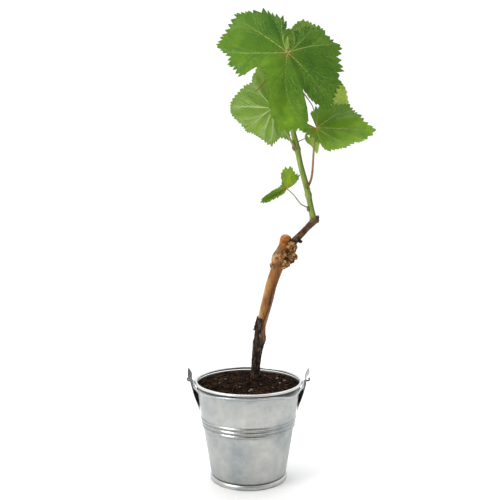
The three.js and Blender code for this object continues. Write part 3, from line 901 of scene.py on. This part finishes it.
def trunk_relief(share, turn, centres):
    """Peeling plates and ridges up to the wax line, with two knots, and the graft's swelling."""
    s, a = np.broadcast_arrays(share, turn)
    skin = np.stack([np.cos(a) * 5, np.sin(a) * 5, s * 145], -1)

    def bumps(wide, high, lift=0.0):
        return wobble(skin * (wide, wide, high) + (0, 0, lift), 1).reshape(s.shape)

    plates, ridges, fine = bumps(0.55, 0.06, 5), np.abs(bumps(1.3, 0.09)), bumps(2.4, 0.5, 9)
    peeling = 1 - ease(WAX_LINE - 0.07, WAX_LINE + 0.05, s + 0.06 * plates)
    knots = 1.1 * band(s, 0.18, 0.03) * facing(a, 0.3) ** 2
    knots += 2.2 * band(s, 0.21, 0.04) * facing(a, math.pi - 0.2) ** 2
    graft = 2.6 * band(s, 0.83, 0.06) * facing(a, 0.7)
    graft += 1.1 * band(s, 0.84, 0.06) * np.abs(bumps(0.6, 0.5))
    graft -= 0.7 * band(s, 0.925, 0.02) * facing(a, 0.5)
    bark_skin = peeling * (0.9 * plates + 0.9 * ridges - 0.35 + 0.3 * fine)
    return bark_skin + (1 - peeling) * (0.28 * plates + 0.07 * fine) + knots + graft


def trunk():
    cloud, faces, share, turn = tube(TRUNK, TRUNK_RADII, 72, 0.55, trunk_relief, round_end=True)
    cloud[share == 0, 2] = TRUNK[0][2]
    edge = WAX_LINE + 0.025 * wobble(cloud, 4, 3.0) - 0.19 * band(turn, 2.35, 0.5)
    crack = band(turn + 0.25 * wobble(cloud, 9, 5.0), 1.95, 0.13) * (1 - ease(0.5, 0.66, share))
    dark = np.maximum(1 - ease(-0.008, 0.012, share - edge), 0.9 * crack)
    streaks = np.clip(wobble(cloud * (1, 1, 0.12), 1.3, 14.0) - 0.18, 0, 1) * ease(0.4, 0.5, share)
    dark = np.clip(dark + 1.1 * streaks * np.clip(0.35 - np.cos(turn), 0, 1), 0, 1)
    # Painted highlight: the pale mask lights the left side, which faces the key light, mixed with the bark's
    # paler tan there, and adds a patch on the graft's swelling.
    pale = 0.9 * facing(turn, 0) ** 2 * ease(0.34, 0.42, share) * (1 - 0.5 * ease(0.55, 0.7, share))
    pale = pale * (0.75 + 0.6 * wobble(cloud, 7, 11.0)) * (1 - ease(0.88, 0.93, share))
    swelling = band(share, 0.835, 0.035) * facing(turn, 0.9)
    pale = np.clip(pale + swelling * (0.45 + 0.9 * wobble(cloud, 3, 19.0)), 0, 1)
    # Painted shade: the shade mask darkens the side away from the key light, mixed with the bark's browner
    # red there, and the groove near the trunk's top.
    shade = np.clip(facing(turn, math.pi - 0.5) ** 1.3 * (0.75 + 0.5 * wobble(cloud, 8, 17.0)), 0, 1)
    shade = 0.85 * shade * ease(0.36, 0.42, share) * (1 - 0.6 * ease(0.88, 0.95, share))
    shade = np.maximum(shade, 0.55 * band(share, 0.925, 0.012) * facing(turn, 0.6))
    grain = wobble(cloud * (1.4, 1.4, 0.1), 1, 8.0) * 0.5 + 0.5
    waxed = 0.85 * ease(0.90, 0.95, share)
    parts = Parts().add(cloud, faces, dark=dark, grain=grain, pale=pale, waxed=waxed, shade=shade)
    add_flap(parts)
    parts.make("trunk_bark", BARK, "bark", "trunk")


def add_flap(parts):
    """A curled strip of dead bark that stands off the trunk's left side."""
    rows, wide = 18, 5
    t = np.linspace(0, 1, rows)[:, None]
    k = np.arange(wide)
    turn = np.radians(158 + 11 * k + 6 * np.sin(9 * t))
    points = []
    for depth in (0.0, 2.2):
        off = 5.9 + 0.6 * t - depth * (1 - 0.2 * t) + 0.15 * np.sin(23 * t + k)
        x = 14.3 - 3.1 * t + off * np.cos(turn)
        z = 161.5 - 13.5 * t + 0.5 * np.sin(5 * k)
        points.append(np.stack([x, 9.6 - 0.9 * off * np.sin(turn), z], -1).reshape(-1, 3))
    values = {"dark": 1.0, "grain": 0.4, "pale": 0.0, "waxed": 0.0, "shade": 0.0}
    parts.add(np.concatenate(points), slab(rows, wide, False), **values)


def callus():
    """Knobbly graft callus: many small lumps melted into one skin."""
    rng = random.Random(21)
    centres = []
    sizes = []
    clusters = [
        ((42.4, 2.6, 231.5), (5.6, 5.6, 7.0), 20),
        ((42.6, 1.2, 222.4), (6.2, 6.4, 6.6), 24),
        ((36.8, 1.8, 215.4), (5.0, 5.2, 5.2), 14),
        ((36.4, 0.2, 226.4), (2.6, 2.2, 2.6), 4),
        ((33.4, 2.2, 220.5), (5.4, 2.6, 6.0), 18),
        ((23.0, 2.2, 213.6), (2.3, 2.4, 2.2), 4),
    ]
    for centre, half, count in clusters:
        for _ in range(count):
            direction = unit(np.array([rng.gauss(0, 1) for _ in range(3)]))
            centres.append(np.array(centre) + direction * half * rng.uniform(0.45, 0.72))
            sizes.append(min(rng.uniform(1.7, 3.3), 0.9 * min(half)))
        centres.append(np.array(centre))
        sizes.append(min(half) * 0.8)
    parts = Parts()
    for i, (at, size) in enumerate(zip(centres, sizes)):
        parts.add(*ball(at, (size, size, size), 0.35, i * 3.1, 12, 8))
    piece = parts.make("graft_callus_knobs", CALLUS, "callus", "callus_right", "callus_left")
    melt(piece, 0.42)
    mesh = piece.data
    points = np.array([v.co for v in mesh.vertices]) / MM
    # Painted shade: near black in the seams between lumps and in the dents pressed in below.
    gaps = np.sort(np.linalg.norm(points[:, None] - centres, axis=2) / sizes, axis=1)
    crease = 1 - ease(0.02, 0.22, gaps[:, 1] - gaps[:, 0])
    hollow = ease(0.12, 0.34, wobble(points, 3.4, 4.0))
    note(mesh, "pit", np.clip(crease * 0.75 + hollow * 0.85, 0, 0.95))
    normals = np.array([v.normal for v in mesh.vertices])
    moved = points + normals * (0.35 * wobble(points, 1.3, 2.0) - 0.75 * hollow)[:, None]
    mesh.vertices.foreach_set("co", (moved * MM).astype(np.float32).ravel())
    mesh.update()


def melt(piece, voxel):
    """Joins a piece's overlapping bodies into one skin."""
    modifier = piece.modifiers.new("melt", "REMESH")
    modifier.mode = "VOXEL"
    modifier.voxel_size = voxel * MM
    modifier.use_smooth_shade = True
    graph = bpy.context.evaluated_depsgraph_get()
    skin = bpy.data.meshes.new_from_object(piece.evaluated_get(graph))
    old = piece.data
    piece.modifiers.remove(modifier)
    piece.data = skin
    bpy.data.meshes.remove(old)


def cane():
    path = [(43, 5, 236), (50.5, 4, 243.5), (57.2, 3, 250.6), (63.6, 1.2, 257.6), (68, 1, 261.8)]

    def relief(share, turn, centres):
        bands = 0.15 * np.sin(5 * turn + 6 * share) + 0.072 * np.sin(11 * turn)
        return bands + band(share, 0.86, 0.07) - 0.35 * band(share, 0.55, 0.2)

    cloud, faces, share, turn = tube(path, [3.7, 3.4, 3.4, 3.5, 2.3], 40, 0.45, relief, round_end=True)
    cloud = cloud + 0.25 * wobble(cloud, 2.2, 6.0)[:, None]
    dark = np.clip(0.8 + 0.5 * wobble(cloud, 4.5, 12.0) + 0.3 * (1 - ease(0.05, 0.3, share)), 0.5, 1)
    parts = Parts().add(cloud, faces, dark=dark, grain=0.5 + 0.5 * np.sin(9 * turn))
    parts.add(*ball((51.2, 2.8, 237.8), (1.8, 1.6, 1.7), 0.5, 3, 14, 9), dark=1.0, grain=0.3)
    parts.add(*ball((67.2, 1, 261.6), (2.2, 2.4, 2.0), 0.5, 5, 14, 9), dark=1.0, grain=0.3)
    parts.make("cane_bark", BARK, "bark", "cane")


# ---- green growth ----------------------------------------------------------------------------
SHOOT_PATH = [
    (64.2, 0.6, 257.6), (61.2, 0, 271), (56.6, -1, 291.4), (50.6, -2, 312.6), (46.4, -3, 331.8),
    (43.2, -4, 344.2), (38.6, 1, 372), (35.5, 8, 398), (32, 15, 419),
]
SHOOT_RADII = [3.6, 2.8, 2.9, 2.65, 2.8, 2.6, 2.4, 2.0, 1.1]


def shoot():
    def relief(share, turn, centres):
        nodes = sum(0.65 * band(share, at, 0.012) for at in (0.205, 0.47, 0.72, 0.87))
        foot = 1.5 * band(share, 0, 0.03)
        return 0.13 * np.cos(5 * turn) + 0.06 * np.cos(9 * turn + 3 * share) + nodes + foot

    cloud, faces, share, turn = tube(SHOOT_PATH, SHOOT_RADII, 36, 0.8, relief, round_end=True)
    dark = 0.9 * (1 - ease(0.015, 0.06, share + 0.03 * wobble(cloud, 3, 2.0)))
    # Painted shade on the shoot's side away from the key light.
    parts = Parts().add(cloud, faces, dark=dark, shade=0.95 * ease(-0.35, 0.8, -np.cos(turn - 0.2)))
    parts.make("shoot_green", SHOOT, "green_wood", "shoot")


# Each stalk's path, its radius, and whether it is red rather than green.
STALKS = {
    "stalk_large": ([(37.6, 1, 374), (36.5, -12, 390), (36.5, -22, 404), (36, -29.6, 414.6)], 1.3, True),
    "stalk_back": ([(36, 7, 392), (45, 16, 399), (51, 26, 403), (54.8, 33.4, 404)], 1.1, False),
    "stalk_left": ([(45.6, -4, 328), (40, -9, 337), (32, -4, 353), (24.2, 7.3, 367.6)], 1.25, False),
    "stalk_right": ([(57, -1.4, 290), (61.4, -3.6, 302), (63, -5, 328), (64.8, -5.2, 347.4)], 1.15, True),
    "stalk_small": ([(59.4, -1.4, 271), (51, -5, 275), (44, -8.2, 283.5), (37.2, -13.6, 289.8)], 0.62, False),
    "stalk_folded": ([(46, -2, 334), (53.4, 0.5, 337.6), (58.6, 6.4, 339)], 0.5, False),
}


def stalks():
    for name, (path, radius, red) in STALKS.items():
        def relief(share, turn, centres, size=radius):
            ends = 1.1 * band(share, 0, 0.07) + 0.45 * band(share, 1, 0.05)
            return size * (ends - 0.18 * band(turn, math.pi, 0.5) + 0.04 * np.cos(7 * turn))

        radii = [radius * taper for taper in (1.15, 1, 0.9, 0.85)][:len(path)]
        cloud, faces, share, _ = tube(path, radii, 20, 0.5, relief, round_end=True)
        tone = ease(0.02, 0.75, share) if red else 1 - ease(0, 0.3, share)
        parts = Parts().add(cloud, faces, tone=tone)
        parts.make(name + "_skin", STALK_RED if red else STALK_GREEN, "stalk", name)


def tendrils():
    """Thin curling stems that leave the shoot opposite its leaves."""
    paths = [
        [(38.2, 2, 374), (31, -1, 388), (24, 1, 396), (16.9, 3, 393.4), (11, 3.4, 387.5), (6, 4, 382.6)],
        [(38.4, 3, 374), (44, 5, 382), (50.6, 6, 384), (57.4, 7.4, 377), (62.6, 8, 369), (64, 8, 362)],
    ]
    parts = Parts()
    for path in paths:
        radii = np.linspace(0.95, 0.4, len(path))
        cloud, faces, share, _ = tube(path, radii, 14, 0.6, round_end=True)
        cloud = cloud + 0.12 * wobble(cloud, 2.5, 31.0)[:, None]
        parts.add(cloud, faces, tone=ease(0, 0.3, share))
    parts.make("tendril_stems", STALK_GREEN, "stalk")


def buds():
    """Winter buds and stipules in the leaf axils."""
    parts = Parts()
    spots = [
        ((56.6, -3.6, 293), (2.0, 1.9, 2.9), 1), ((58.6, -2.8, 289.6), (1.5, 1.6, 1.6), 2),
        ((43.3, -5.6, 330), (1.5, 1.7, 3.4), 3), ((42.6, -6.4, 334), (0.9, 0.9, 2.4), 4),
        ((58.4, -1.2, 270.4), (1.9, 1.6, 2.8), 5), ((40.2, 0.6, 376), (1.5, 1.6, 2.4), 6),
        ((36.4, 9, 397), (1.3, 1.4, 2.2), 7),
    ]
    for at, half, seed in spots:
        parts.add(*ball(at, half, 0.3, seed, 14, 10), dark=0.25 + 0.3 * (seed % 2), shade=0.2)
    parts.make("axil_buds", SHOOT, "green_wood")


trunk()
callus()
cane()
shoot()
stalks()
tendrils()
buds()


# ---- potting mix -----------------------------------------------------------------------------
FOOT = np.array([5.8, 11.0])        # where the trunk leaves the mix
SEAT = 98.3                         # height of the mix round the trunk
WALL_INSIDE = 50.7
SOIL_SKIRT = 90                     # how far down the mix's edge reaches

# Perlite bits and the larger clods: (x, y, size).
PERLITE_BITS = [
    (29, 12, 1.5), (36, 5, 1.6), (31, -2, 1.2), (-23, 7, 1.1), (-29, -3, 0.9), (-8, -22, 1.1),
    (3, -27, 1.3), (1, -33, 1.1), (-12, -14, 0.9), (12, -12, 0.8), (24, -20, 0.8), (-33, 12, 0.8),
    (17, 20, 0.9),
]
CLODS = [(33, 27, 2.6), (36, 24.5, 2.0), (30.5, 29, 1.8), (-12, 34, 2.2), (2, 35, 2.0), (-20, 30, 1.7)]


def soil_top(x, y):
    """The mix's height: dished, uneven, and raised round the trunk."""
    out = np.hypot(x, y) / WALL_INSIDE
    rough = 0.7 * np.sin(0.31 * x + 1) * np.cos(0.37 * y) + 0.5 * np.sin(0.6 * y + 0.4 * x)
    ground = 97.2 - 3.0 * out**2 + rough * (1 - out**4)
    near = ease(7, 20, np.hypot(x - FOOT[0], y - FOOT[1]))
    return SEAT + (ground - SEAT) * near


def soil():
    rings, sides = 64, 220
    radii = WALL_INSIDE * (1 - np.arange(rings) / rings)
    turn = circle(sides)
    flat = np.stack([np.outer(radii, np.cos(turn)), np.outer(radii, np.sin(turn))], -1).reshape(-1, 2)
    level = np.column_stack([flat, np.zeros(len(flat))])
    lumps = 1.9 * wobble(level, 6, 1) + 1.1 * np.abs(wobble(level, 2.6, 5)) + 0.5 * wobble(level, 1.2, 9)
    edge = np.repeat(ease(0, 2, WALL_INSIDE - radii), sides)
    skin = np.column_stack([flat, soil_top(*flat.T) - 0.6 + lumps * edge])
    low = np.column_stack([flat[:sides] * 49.9 / WALL_INSIDE, np.full(sides, SOIL_SKIRT)])
    middles = [(0, 0, SOIL_SKIRT), (0, 0, soil_top(0.0, 0.0))]
    parts = Parts().add(np.concatenate([low, skin, middles]), loft(rings + 1, sides))
    parts.make("potting_mix_bed", SOIL, "compost", "soil")


def on_soil(rng, rim):
    """A random place on the mix, clear of the wall and the trunk."""
    while True:
        x, y = rng.uniform(-50, 50), rng.uniform(-50, 50)
        if math.hypot(x, y) < WALL_INSIDE - rim and math.hypot(x - FOOT[0], y - FOOT[1]) > 4.6:
            return x, y, float(soil_top(x, y))


def crumbs():
    rng = random.Random(5)
    parts = Parts()
    for i in range(1250):
        x, y, z = on_soil(rng, 1.6)
        size = 0.35 + 1.15 * rng.random() ** 2.2
        half = (size, size * rng.uniform(0.6, 1.2), size * rng.uniform(0.4, 0.9))
        parts.add(*ball((x, y, z + 0.2 + size * 0.3), half, 0.8, i * 1.3, 7, 5))
    for x, y, size in CLODS:
        parts.add(*ball((x, y, soil_top(x, y) + 0.9), (size, size, size * 0.8), 0.7, x, 18, 12))
    parts.make("potting_crumbs_loose", CRUMBS, "compost")
    return rng


def fibres(rng):
    parts = Parts()
    for _ in range(190):
        x, y, _ = on_soil(rng, 4)
        length = rng.uniform(2.5, 9)
        heading = rng.uniform(0, 2 * math.pi)
        bend = rng.uniform(-1.1, 1.1)
        path = []
        for t in (0, 0.25, 0.5, 0.75, 1):
            a = heading + bend * t
            px, py = x + length * t * math.cos(a), y + length * t * math.sin(a)
            if math.hypot(px, py) > WALL_INSIDE - 1:
                break
            path.append((px, py, soil_top(px, py) + 0.5 + rng.uniform(0.2, 1.0)))
        if len(path) > 2:
            cloud, faces, _, _ = tube(path, [rng.uniform(0.10, 0.24)] * len(path), 5, 0.9, round_end=True)
            parts.add(cloud, faces)
    parts.make("peat_fibre_strands", FIBRE, "compost")


def perlite():
    parts = Parts()
    for x, y, size in PERLITE_BITS:
        at = (x, y, soil_top(x, y) + 0.75 + size * 0.35)
        parts.add(*ball(at, (size, size * 0.8, size * 0.65), 0.75, x * 0.7, 12, 8))
    parts.make("perlite_bits", PERLITE, "compost")


soil()
fibres(crumbs())
perlite()


# ---- pail ------------------------------------------------------------------------------------
PAIL_FOOT, PAIL_MOUTH = 37.3, 52.2  # the wall's radius at the hoop's top and under the rolled rim
HOOP_TOP = 4.0
RIM, ROLL = 98.0, 1.5               # height of the rolled rim's middle, and its radius
SHEET = 0.45
RIDGES_FROM, RIDGES_TO = 53.2, 65.2
RIDGE_PITCH, RIDGE_PROUD = 4.0, 1.1
PIVOT = 98.5                        # height of the eyelets
EAR_FOOT, EAR_LENGTH = 68.0, 45.0   # height of an ear's lower end, and its length
EAR_LEAN = math.radians(14.7)
EYE = 1.75                          # radius of an eyelet's hole


def wall_at(z):
    """The wall's radius at a height, with its three rolled ridges."""
    radius = PAIL_FOOT + (PAIL_MOUTH - PAIL_FOOT) * (z - HOOP_TOP) / (RIM - ROLL - HOOP_TOP)
    if RIDGES_FROM < z < RIDGES_TO:
        radius += RIDGE_PROUD * math.sin(math.pi * (z - RIDGES_FROM) / RIDGE_PITCH) ** 2
    return radius


def revolve(profile, sides, dents=0.0):
    """A closed profile of (radius, height) pairs turned about the pail's axis."""
    radius, height = np.asarray(profile, float).T[:, :, None] * np.ones(sides)
    turn = circle(sides)
    if dents:
        cloud = np.stack([radius * np.cos(turn), radius * np.sin(turn), height], -1)
        radius = radius + dents * wobble(cloud, 26, 3.0).reshape(radius.shape)
    cloud = np.stack([radius * np.cos(turn), radius * np.sin(turn), height], -1).reshape(-1, 3)
    faces = loft(len(profile) + 1, sides, caps=False)
    return cloud, [tuple(i % len(cloud) for i in face) for face in faces]


def pail_wall():
    ridged = np.arange(RIDGES_FROM, 65.6, 0.25)
    heights = np.concatenate([np.arange(4.9, 53, 2.4), ridged, np.arange(66, 95.5, 2.4)])
    outer = [(wall_at(z), z) for z in heights] + [(PAIL_MOUTH - 0.1, 96.0)]
    inner = [(r - SHEET, z) for r, z in reversed(outer)]
    cloud, faces = revolve(outer + inner, 256, 0.12)
    height = cloud[:, 2]
    inside = np.arange(len(cloud)) >= len(outer) * 256
    around = np.degrees(np.arctan2(-cloud[:, 1], cloud[:, 0]))
    # Painted shade: darker under the rolled rim, above the hoop, under the rim behind the wire's droop at the
    # front right, in the ridges' valleys and all over the inner wall.
    creases = 0.8 * ease(92.6, 95.4, height) + 0.7 * (1 - ease(4.9, 7.0, height))
    creases = np.maximum(creases, 0.9 * ease(91, 93, height) * band(around, 38, 17, 4))
    ridges = band(height, 59.2, 6.5, 4)
    valleys = 0.3 * ridges * np.cos(np.pi * (height - RIDGES_FROM) / RIDGE_PITCH) ** 8
    grime = np.where(inside, 0.7, np.clip(creases + valleys, 0, 0.9))
    parts = Parts().add(cloud, faces, grime=grime, shine=ridges * ~inside)
    parts.make("pail_wall_sheet", ZINC, "zinc", "pail_wall")


def pail_edges():
    """The rolled rim, with painted shadow where it laps over the wall, and the hoop round the foot, evenly
    darkened a little.
    """
    lap = np.radians(np.arange(-96, 262, 15))
    roll = np.column_stack([PAIL_MOUTH + 0.2 + ROLL * np.cos(lap), RIM + ROLL * np.sin(lap)])
    shadow = np.where((np.cos(lap) > 0.3) & (np.sin(lap) < -0.25), 0.9, 0.0)
    hoop = [
        (37.0, 1.3), (37.9, 0.9), (38.35, 1.2), (38.5, 1.9), (38.5, 2.7), (38.3, 3.4), (37.7, HOOP_TOP),
        (37.2, 4.9), (36.8, 4.9), (36.8, 1.6),
    ]
    parts = Parts().add(*revolve(roll, 256, 0.05), grime=np.repeat(shadow, 256))
    parts.add(*revolve(hoop, 256, 0.05), grime=0.2)
    parts.make("pail_rolled_edges", ZINC_BRIGHT, "zinc")


def pail_bottom():
    disc = [
        (0.02, 1.9), (30, 1.9), (36.4, 1.7), (36.9, 1.2), (38.0, 1.1), (38.45, 0.8), (38.45, 0.35),
        (38.1, 0.0), (36.0, 0.0), (35.2, 0.9), (30, 1.25), (0.02, 1.25),
    ]
    parts = Parts().add(*revolve(disc, 192))
    parts.make("pail_bottom_disc", ZINC, "zinc", "pail_base")


def pail_seam():
    """The folded side seam up the back of the wall."""
    section = [(-2.4, -0.1), (-2.1, 0.55), (-0.4, 0.75), (1.3, 0.72), (1.9, 0.45), (2.2, -0.1)]
    heights = np.linspace(5.2, 95.6, 60)
    points = []
    for z in heights:
        for aside, out in section:
            r = wall_at(z) + out
            a = math.pi / 2 + aside / r
            points.append((r * math.cos(a), r * math.sin(a), z))
    points += [(0, wall_at(z) + 0.3, z) for z in heights[[0, -1]]]
    parts = Parts().add(points, loft(len(heights), len(section)))
    parts.make("pail_side_seam", ZINC, "zinc")


def ears():
    """Lancet plates with a rolled-over edge, an eyelet and a weld dimple. Their inner layer swells in towards
    the wall and is near black: a dark filler put in as painted shade between plate and wall.
    """
    steps, rings = 96, 14
    hole_up = (PIVOT - EAR_FOOT) / math.cos(EAR_LEAN)
    base = wall_at(EAR_FOOT) + 1.1
    turn = circle(steps)
    rise = (1 - np.cos(turn)) / 2
    half = np.minimum(8.6 * np.sin(math.pi * rise) ** 0.72 * (0.82 + 0.36 * rise), 8.4)
    outline = np.column_stack([np.copysign(half, np.sin(turn)), EAR_LENGTH * rise])
    eye = np.column_stack([EYE * np.sin(turn), hole_up - EYE * np.cos(turn)])
    inward = np.linspace(0, 1, rings + 1)[:, None]
    w, up = np.moveaxis(outline + (eye - outline) * inward[..., None], -1, 0)
    thick = np.where((inward > 0) & (inward < 1), 0.34, 0.16)
    shade_filler = 0.8 * (1.1 + 0.1 * up) * ease(6.5, 2.5, np.abs(w)) * ease(24, 18, up) * ease(2, 8, up)
    face = 0.55 * (w / 8.5) ** 2 + 0.45 * band(np.hypot(w, up - hole_up), 2.6, 0.7)
    face = face - 0.35 * band(up, 6, 1.5) * band(w, 0, 1.5)
    for name, side, curl in (("ear_right", 1, -0.5), ("ear_left", -1, 0.3)):
        twist = curl * ease(hole_up - 1, 40, up)
        points = []
        for layer in (thick, -thick - shade_filler):
            out = layer + face - w * np.sin(twist) * side
            x = base + out * math.cos(EAR_LEAN) + up * math.sin(EAR_LEAN)
            z = EAR_FOOT - out * math.sin(EAR_LEAN) + up * math.cos(EAR_LEAN)
            points.append(np.stack([x * side, w * np.cos(twist) * side, z], -1).reshape(-1, 3))
        # Painted shade: the inner layer, facing the wall, is near black.
        grime = np.repeat([0.0, 0.75], w.size)
        parts = Parts().add(np.concatenate(points), slab(rings + 1, steps, True), grime=grime)
        parts.make(name + "_plate", ZINC_EAR, "zinc", name)


def bail():
    """The wire handle: hooked ends, a kink by each ear and one long bow round the front."""
    radius, sag = 54.9, 2.9

    def bow(degrees, drop):
        a = math.radians(degrees)
        return radius * math.cos(a), -radius * math.sin(a), PIVOT - drop

    half = [
        (60.4, 0.2, PIVOT + 2.9), (60.9, 0, PIVOT + 1.4), (60.3, 0, PIVOT + 0.1), (58.2, 0, PIVOT - 0.1),
        (56.1, 0, PIVOT), (55.0, -0.9, PIVOT - 0.15), (54.7, -3.2, PIVOT - 0.7),
    ]
    for turn in (7, 11, 16, 22):
        half.append(bow(turn, sag * float(ease(0, 0.24, math.sin(math.radians(turn))))))
    front = []
    for turn in range(28, 156, 6):
        front.append(bow(turn, sag + 3.2 * band(turn, 40, 15) + 1.1 * band(turn, 138, 20)))
    path = half + front + [(-x, y, z) for x, y, z in reversed(half)]
    cloud, faces, _, _ = tube(path, [0.92] * len(path), 16, 0.42)
    # The wire is darkened towards its hooked ends.
    parts = Parts().add(cloud, faces, grime=0.7 * ease(56.5, 58.5, np.abs(cloud[:, 0])))
    parts.make("bail_wire", WIRE, "wire", "bail", body="bail")


pail_wall()
pail_edges()
pail_bottom()
pail_seam()
ears()
bail()


# ---- floor, light and camera -----------------------------------------------------------------
def floor():
    mesh = bpy.data.meshes.new("floor")
    far = 8.0
    mesh.from_pydata([(-far, -far, 0), (far, -far, 0), (far, far, 0), (-far, far, 0)], [], [(0, 1, 2, 3)])
    look = Look("pale_floor", roughness=0.8, specular=0.2)
    look.color(look.ramp(look.noise(6, 2), (0.3, (0.96,) * 3), (0.7, (0.98,) * 3)))
    mesh.materials.append(look.material)
    put("floor", mesh)


def light(name, at, aim, size, watts, tint=(1, 1, 1)):
    data = bpy.data.lights.new(name, "AREA")
    data.shape = "RECTANGLE"
    data.size, data.size_y = size
    data.energy = watts
    data.color = tint
    lamp = put(name, data)
    lamp.location = at
    lamp.rotation_euler = (Vector(aim) - Vector(at)).to_track_quat("-Z", "Y").to_euler()


def surroundings():
    """A white room that is dimmer on the side that the large leaf faces, with a dim strip there."""
    world = bpy.data.worlds.new("studio")
    world.use_nodes = True
    nodes = Nodes(world.node_tree)
    generated = nodes.add("ShaderNodeTexCoord").outputs["Generated"]
    way = nodes.add("ShaderNodeSeparateXYZ", Vector=generated).outputs
    depth = nodes.levels(way["Y"], -0.55, 0.5, 0.42, 1.06)
    greys = ((0.0, 1.2), (0.34, 1.2), (0.45, 0.4), (0.62, 0.4), (0.72, 0.75), (1.0, 0.5))
    strip = nodes.ramp(nodes.levels(way["X"], -1, 1), *((place, (grey,) * 3) for place, grey in greys))
    front = nodes.levels(way["Y"], 0.0, -0.5)
    overhead = nodes.levels(way["Z"], 0.25, 0.9, 1.0, 1.8)
    sides = nodes.times(depth, nodes.mix(front, (1, 1, 1), strip))
    sky = world.node_tree.nodes["Background"].inputs
    sky["Color"].default_value = (1, 1, 1, 1)
    nodes.set(sky["Strength"], nodes.times(sides, overhead))
    bpy.context.scene.world = world


def studio():
    floor()
    light("key", (-1.2, -0.8, 1.25), (0.02, 0, 0.28), (0.8, 0.8), 15, (1.0, 0.985, 0.96))
    light("fill", (1.3, -0.7, 0.7), (0.02, 0, 0.25), (0.8, 1.0), 1.2, (0.96, 0.98, 1.0))
    light("top", (0.1, 0.4, 1.6), (0.02, 0, 0.3), (1.0, 0.8), 3)
    surroundings()
    bpy.context.scene.view_settings.view_transform = "Standard"


def camera():
    data = bpy.data.cameras.new("camera")
    data.sensor_width = 36
    data.lens = 36 * 768 / 500
    data.clip_start = 0.01
    eye = put("camera", data)
    eye.location = (0.0015, -0.750, 0.308)
    eye.rotation_euler = (math.radians(90 - 5.96), 0, 0)
    bpy.context.scene.camera = eye


studio()
camera()
